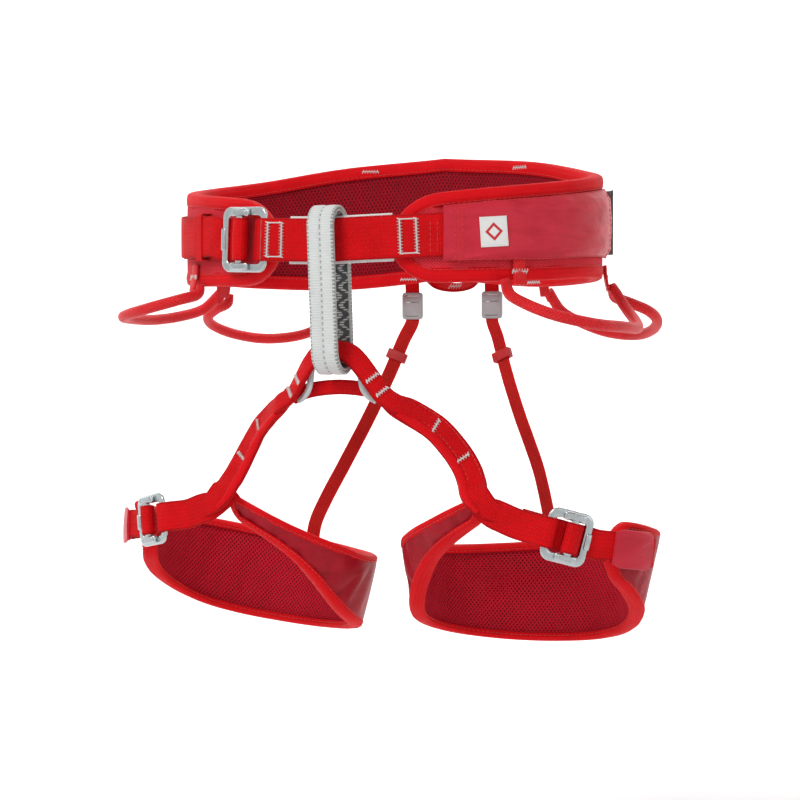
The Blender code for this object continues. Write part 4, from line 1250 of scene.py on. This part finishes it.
def build_belay_loop(mats):
    """Two closed bands of webbing, one inside the other."""
    reach = BELAY_DEPTH / 2
    top, bottom = BELAY_TOP - reach, BELAY_BOTTOM + reach
    rise = [bottom + (top - bottom) * k / 14 for k in range(1, 14)]
    turns = [(180 * k / 16, top) for k in range(17)] + [(180, z) for z in reversed(rise)]
    turns += [(180 + 180 * k / 16, bottom) for k in range(17)] + [(360, z) for z in rise]
    inner_inset = BELAY_OUTER_THICK + 0.3 + BELAY_INNER_THICK / 2
    for word, inset, thick, mat, section in (
        ("outer", BELAY_OUTER_THICK / 2, BELAY_OUTER_THICK, mats["belay"], belay_section()),
        ("inner", inner_inset, BELAY_INNER_THICK, mats["belay_inner"], None),
    ):
        route = []
        for turn, z in turns:
            a = math.radians(turn)
            out = Vector((0, -math.cos(a), math.sin(a)))
            p = Vector((0, BELAY_Y, z)) + out * (reach - inset)
            p.x = BELAY_LEAN * (BELAY_TOP - p.z) / (BELAY_TOP - BELAY_BOTTOM)
            route.append((p, out))
        made = ribbon(
            f"belay_{word}_band", route, BELAY_WIDTH, thick, mat, steps=1, closed=True, crown=0.0, across=8,
            section=section,
        )
        attach(made, "pale_webbing", "belay_loop", f"belay_loop_{word}")


def guard_point(p, normal):
    """A point of the wear guard: behind the arch in the middle, and inside it on both of its slopes."""
    aside = p.x - 3
    share = min(max((abs(aside) - GUARD_STRAIGHT) / GUARD_TURN, 0), 1)
    to_end = min(max((abs(aside) - 26) / 8, 0), 1)
    inside = Vector((-math.copysign(6.9, aside), 0, -5.3)) * (share * (1 - 0.5 * to_end))
    return p - normal * (GUARD_BEHIND + 2 * share) + inside - normal * inside.dot(normal)


def build_bridge(mats):
    """The tie-in loop: an arch and a lower strand of webbing, the wear guard and two bridge straps."""
    arch = [(Vector(p), Vector(n).normalized()) for p, n in ARCH]
    sunk = [
        (Vector(p) + Vector(n).normalized() * lift, Vector(n)) for (p, n), lift in zip(BRIDGE, ARCH_END_LIFTS)
    ]
    whole = [(mirrored(p, -1), mirrored(n, -1)) for p, n in reversed(sunk)] + arch + sunk
    guard = [(guard_point(p, n), n) for p, n in arch]
    for name, route, width, thick, mat, crown, tuck, slot, node in (
        ("tie_in_arch_webbing", whole, 14.0, 3.0, "webbing", 0.7, 0.3, "webbing", "tie_in_arch"),
        ("tie_in_lower_webbing", LOWER, 10.0, 2.4, "webbing", 0.9, 0.0, "webbing", "tie_in_lower_strand"),
        ("wear_guard", guard, 5.6, 1.8, "guard", 0.9, 0.45, "wear_guard", "tie_in_wear_guard"),
    ):
        made = ribbon(name, route, width, thick, mats[mat], steps=6, crown=crown, tuck=tuck)
        attach(made, slot, "leg_bridge", node)
    white = Thread()
    for (p, out), (beside, _) in ((arch[0], arch[1]), (arch[-1], arch[-2])):
        along = (p - beside).normalized()
        for step in (-2.0, -13.0):
            white.tack(p + along * step + out * 2.3, out.cross(along), out, 10.0, 2.6)
    for word, side in SIDES:
        build_bridge_strap(word, side, mats, white)
    white.finish("bridge_bar_tacks", mats["white_thread"], "leg_bridge", "webbing")


# Ends of each bridge strap, hidden under the arch and behind the leg strap.
BRIDGE_START = [((32, -101.5, -111), (0.35, -0.85, 0.4))]
BRIDGE_END = [((89.5, -84.0, -177.0), (0.2, -0.95, 0.15)), ((98.0, -83.4, -185.2), (0.1, -1, 0.1)),
              ((107, -80.4, -190.6), (0, -1, 0.05))]


def build_bridge_strap(word, side, mats, white):
    """One bridge strap: a doubled strap with a padded edge below it, down to the leg loop's fork."""
    route = [(mirrored(p, side), mirrored(n, side)) for p, n in BRIDGE_START + BRIDGE + BRIDGE_END]
    joint = (("leg_bridge", f"leg_loop_{word}"), route[4][0], route[7][0])
    width = LEG_WEB - 1
    half = width / 2
    made = ribbon(
        f"bridge_webbing_{word}", route, width, 3.2, mats["webbing"], steps=8, sway=0.12, tuck=0.35,
        taper=24.0,
    )
    stretch(made, "webbing", *joint, f"bridge_strap_{word}")
    way = smooth_route(route, 8)
    low = [(p + across * ((half - 3.4) * side) + out * 0.9, out) for p, _, across, out in way[10:-10:4]]
    edge = ribbon(
        f"bridge_edge_{word}", low, 6.0, 3.6, mats["binding"], steps=4, crown=0.8, tuck=0.5, taper=16.0,
    )
    stretch(edge, "binding", *joint)
    red = Thread()
    for shift in (half - 7.4, -half + 2.4):
        line = [p + across * (shift * side) + out * 1.75 for p, _, across, out in way[16:49]]
        red.row(line, [out for _, _, _, out in way[16:49]])
    stitches = red.finish(f"bridge_stitches_{word}", mats["red_thread"], "leg_bridge", "webbing")
    stitches.parent = None
    stretch(stitches, "webbing", *joint)
    for place in (22, 34):
        p, along, across, out = way[place]
        white.tack(p + along * 2.5 + out * 2.1, across, out, 11.0, 2.8)


# ---------------------------------------------------------------- leg loops
def build_leg(word, side, mats):
    """One leg loop: pad, edge tape, buckle and straps, rolled about the line that it hangs from."""
    before = set(bpy.data.objects)
    band = leg_band(side)
    body, bar_body = f"leg_loop_{word}", f"leg_buckle_{word}"
    cushion = pad(f"leg_pad_{word}", band, 100, [mats["leg_lining"], mats["shell"]], (4.0, 2.2))
    tape = edge_tape(f"leg_edge_tape_{word}", band, 90, mats, body)

    def on_front(angle, out, z):
        r = math.radians(angle)
        p = Vector((LEG_X + LEG_A * math.cos(r), LEG_Y + LEG_B * math.sin(r), z)) + band.normal(angle) * out
        return mirrored(p, side), mirrored(band.normal(angle), side)

    def strap(name, rows, width=LEG_WEB, thick=WEB_THICK, mat="webbing", steps=5, **shape):
        return ribbon(f"leg_{name}_{word}", rows, width, thick, mats[mat], steps=steps, **shape)

    origin, out = on_front(-58, 6.5, -201)
    place = frame_at(origin, on_front(-66, 7.0, -198.5)[0] - origin, out)
    adjustable, fixed = buckle_routes(place, LEG_WEB)
    anchor = [on_front(-8, 9.2, -210), on_front(-20, 9.4, -209), on_front(-32, 9.5, -207)]
    anchored = strap("anchor_webbing", anchor + adjustable)
    p, n = on_front(-79, 3.6, -194)
    fork = [on_front(*row) for row in FORK_ROUTE]
    front = strap("front_webbing", [(p, -n)] + fixed + fork, neck=(26.0, 0.5))
    under = [(place @ Vector((s, 0, h)), place.to_3x3() @ UP) for s, h in ((-13.0, 0.9), (-18.0, 1.2))]
    tail = [on_front(a, 11.6, z) for a, z in ((-36, -206), (-28, -208), (-20, -210), (-11, -211.3))]
    loose = strap("loose_end", under + tail, LEG_WEB - 1)
    ring = [on_front(a, 13.0, -208.5 - (a + 26) * 0.14) for a in (-37, -30, -22, -14)]
    keeper = strap("keeper", ring, LEG_WEB + 5, 1.2, "sleeve", 4, crown=0.6, tuck=0.15)

    pivot = mirrored(HANG_FORK, side)
    axis = (mirrored(HANG_RISER, side) - pivot).normalized()
    turn = Matrix.Rotation(math.radians(LEG_ROLL), 4, axis)
    roll = Matrix.Translation(pivot) @ turn @ Matrix.Translation(-pivot)
    for made in set(bpy.data.objects) - before:
        made.data.transform(Matrix.Translation(pivot * MM) @ turn @ Matrix.Translation(-pivot * MM))
    pad_nodes = [f"leg_{part}_{word}" for part in ("foam", "lining", "outer_shell")]
    attach(cushion, "mesh_lining", body, *pad_nodes)
    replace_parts(tape, f"leg_binding_{word}")
    start, end = roll @ anchor[2][0], roll @ adjustable[3][0]
    stretch(anchored, "webbing", (body, bar_body), start, end, f"leg_anchor_strap_{word}")
    attach(front, "webbing", body, f"leg_front_strap_{word}")
    attach(loose, "webbing", body, f"leg_strap_tail_{word}")
    attach(keeper, "elastic", body)
    buckle(f"leg_{word}", roll @ place, LEG_WEB, mats["metal"], body, bar_body)


# ---------------------------------------------------------------- risers
def build_riser(word, side, mats):
    """One elastic strap from the back of the belt to the leg loops, with its buckle and sliding ring."""
    plastic, back = mats["grey_plastic"], Vector((0, 1, 0))

    def at(rows):
        return [mirrored(Vector(p), side) for p in rows]

    hanger = [(p, back) for p in at([(31, 117, -12), (31, 119, -22), (31, 120.5, -31), (31, 121.2, -39)])]
    made = ribbon(f"riser_tab_{word}", hanger, 11.0, 1.6, mats["webbing"], steps=4)
    attach(made, "webbing", "waist_belt", f"riser_hanger_{word}")
    place = frame_at(at([(31, 121.4, -46.5)])[0], -UP, back)

    def block(name, x, z, size, bevel, taper=0.0):
        return lozenge(f"riser_{name}_{word}", shifted(place, x, 0, z), size, plastic, bevel, taper)

    outer, inner = (20.0, 15.5, 2.4), (15.6, 10.5, 1.4)
    parts = [
        ring_plate(f"riser_ladder_{word}", place, outer, inner, 4.0, plastic, 0.8),
        block("rung", -5.0, -0.2, (4.6, 12.0, 3.4), 0.7), block("rung", 2.6, -0.2, (10.0, 12.0, 3.4), 0.7),
    ]
    made = join(f"riser_ladder_lock_{word}", parts)
    attach(made, "grey_plastic", "waist_belt", f"riser_buckle_{word}")
    parts = [
        block("lever_a", -1.5, 3.9, (12.0, 7.3, 2.5), 0.9, 0.3),
        block("lever_b", 4.0, 4.3, (2.4, 7.4, 2.0), 0.8),
    ]
    made = join(f"riser_cam_{word}", parts)
    attach(made, "grey_plastic", f"riser_release_{word}", f"riser_lever_{word}")

    points = at(RISER)
    normal = mirrored((0.1, 1, 0.25), side)
    joint = (("waist_belt", "leg_bridge"), points[0], points[-1])
    route = [(p, normal) for p in at([(31, 122.0, -53.5)]) + points]
    made = ribbon(
        f"riser_elastic_{word}", route, RISER_WIDTH, RISER_THICK, mats["riser"], steps=10, crown=0.2,
        sway=0.15,
    )
    stretch(made, "elastic", *joint, f"riser_strap_{word}")
    slide = frame_at((points[1] + points[2]) / 2, points[2] - points[1], normal)
    slide = slide @ Matrix.Rotation(math.radians(90), 4, "Y")
    outer, inner = (6.0, 15.0, 1.4), (3.0, 11.4, 0.9)
    made = ring_plate(f"riser_ring_{word}", slide, outer, inner, 7.0, mats["red_plastic"], 0.6)
    stretch(made, "elastic", *joint, f"riser_slider_{word}")


# ---------------------------------------------------------------- camera, lights and floor
CAMERA_AZIMUTH = 21.0
CAMERA_HEIGHT = -0.116
CAMERA_DISTANCE = 1.7
CAMERA_LENS = 111.0
CAMERA_ACROSS = 0.0052  # how far the view's middle lies to the right of the origin
FLOOR_Z = -0.42
BOWL_FLOOR = 1.9  # radius of the flat part of the floor
BOWL_CURVE = 1.0
BOWL_HEIGHT = 3.4


FLOOR_CORNER_STEPS = 12
FLOOR_SIDES = 96
FLOOR_GLOW = 0.08
SKY = 0.16


def view_axes():
    """Right and forward in the camera's view, level with the floor."""
    turn = math.radians(CAMERA_AZIMUTH)
    return Vector((math.cos(turn), math.sin(turn), 0)), Vector((-math.sin(turn), math.cos(turn), 0))


def make_camera():
    right, forward = view_axes()
    made = link("camera", bpy.data.cameras.new("camera"))
    made.location = right * CAMERA_ACROSS - forward * CAMERA_DISTANCE + UP * CAMERA_HEIGHT
    made.rotation_euler = (math.radians(90), 0, math.radians(CAMERA_AZIMUTH))
    made.data.lens = CAMERA_LENS
    made.data.sensor_width = 36.0
    made.data.clip_end = 50.0
    bpy.context.scene.camera = made


def area_light(name, place, target, size, power):
    data = bpy.data.lights.new(name, "AREA")
    data.shape = "RECTANGLE"
    data.size, data.size_y = size
    data.energy = power
    made = link(name, data)
    made.location = place
    made.rotation_euler = (target - place).to_track_quat("-Z", "Y").to_euler()


def make_floor():
    """A pale floor that curves up all round into a high wall."""
    profile = [(0.02, 0.0), (BOWL_FLOOR, 0.0)]
    for step in range(1, FLOOR_CORNER_STEPS + 1):
        a = math.radians(90 * step / FLOOR_CORNER_STEPS)
        profile.append((BOWL_FLOOR + BOWL_CURVE * math.sin(a), BOWL_CURVE * (1 - math.cos(a))))
    profile.append((BOWL_FLOOR + BOWL_CURVE, BOWL_HEIGHT))
    turns = [2 * math.pi * k / FLOOR_SIDES for k in range(FLOOR_SIDES)]
    verts = [(away * math.cos(a), away * math.sin(a), FLOOR_Z + up) for away, up in profile for a in turns]
    faces = []
    for i in range(len(profile) - 1):
        low, high = i * FLOOR_SIDES, (i + 1) * FLOOR_SIDES
        for k in range(FLOOR_SIDES):
            m = (k + 1) % FLOOR_SIDES
            faces.append((low + k, low + m, high + m, high + k))
    faces.append(tuple(reversed(range(FLOOR_SIDES))))
    mesh = bpy.data.meshes.new("floor")
    mesh.from_pydata(verts, [], faces)
    mesh.shade_smooth()
    paper = Look("paper", 0.9, specular=0.1)
    paper.feed("Base Color", paper.noise(2.0).mix((0.80, 0.80, 0.80), (0.83, 0.83, 0.83)))
    paper.shader.inputs["Emission Color"].default_value = (1, 1, 1, 1)
    paper.shader.inputs["Emission Strength"].default_value = FLOOR_GLOW
    mesh.materials.append(paper.material)
    link("floor", mesh)


def make_stage():
    """The floor, and soft light on the object and on the wall behind it."""
    make_floor()
    world = bpy.data.worlds.new("studio")
    world.use_nodes = True
    sky = world.node_tree.nodes["Background"]
    sky.inputs["Color"].default_value = (1.0, 1.0, 1.0, 1)
    sky.inputs["Strength"].default_value = SKY
    bpy.context.scene.world = world
    right, forward = view_axes()
    area_light("key", forward * -1.1 - right * 0.8 + UP * 0.9, UP * -0.08, (0.6, 0.6), 12)
    area_light("fill", forward * -1.3 + right + UP * 0.25, UP * -0.12, (0.9, 0.9), 2)
    area_light("top", UP * 1.5, UP * -0.1, (1.2, 1.2), 2.5)
    area_light("wall", forward * 0.9 + UP * 1.6, forward * 2.9, (2.4, 0.8), 75)
    bpy.context.scene.view_settings.view_transform = "Standard"


# ---------------------------------------------------------------- the whole scene
def main():
    for obj in list(bpy.data.objects):
        bpy.data.objects.remove(obj)
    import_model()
    make_camera()
    make_stage()
    mats = make_materials()
    build_waist(mats)
    build_gear_loops(mats)
    build_belay_loop(mats)
    build_bridge(mats)
    for word, side in SIDES:
        build_leg(word, side, mats)
        build_riser(word, side, mats)


main()
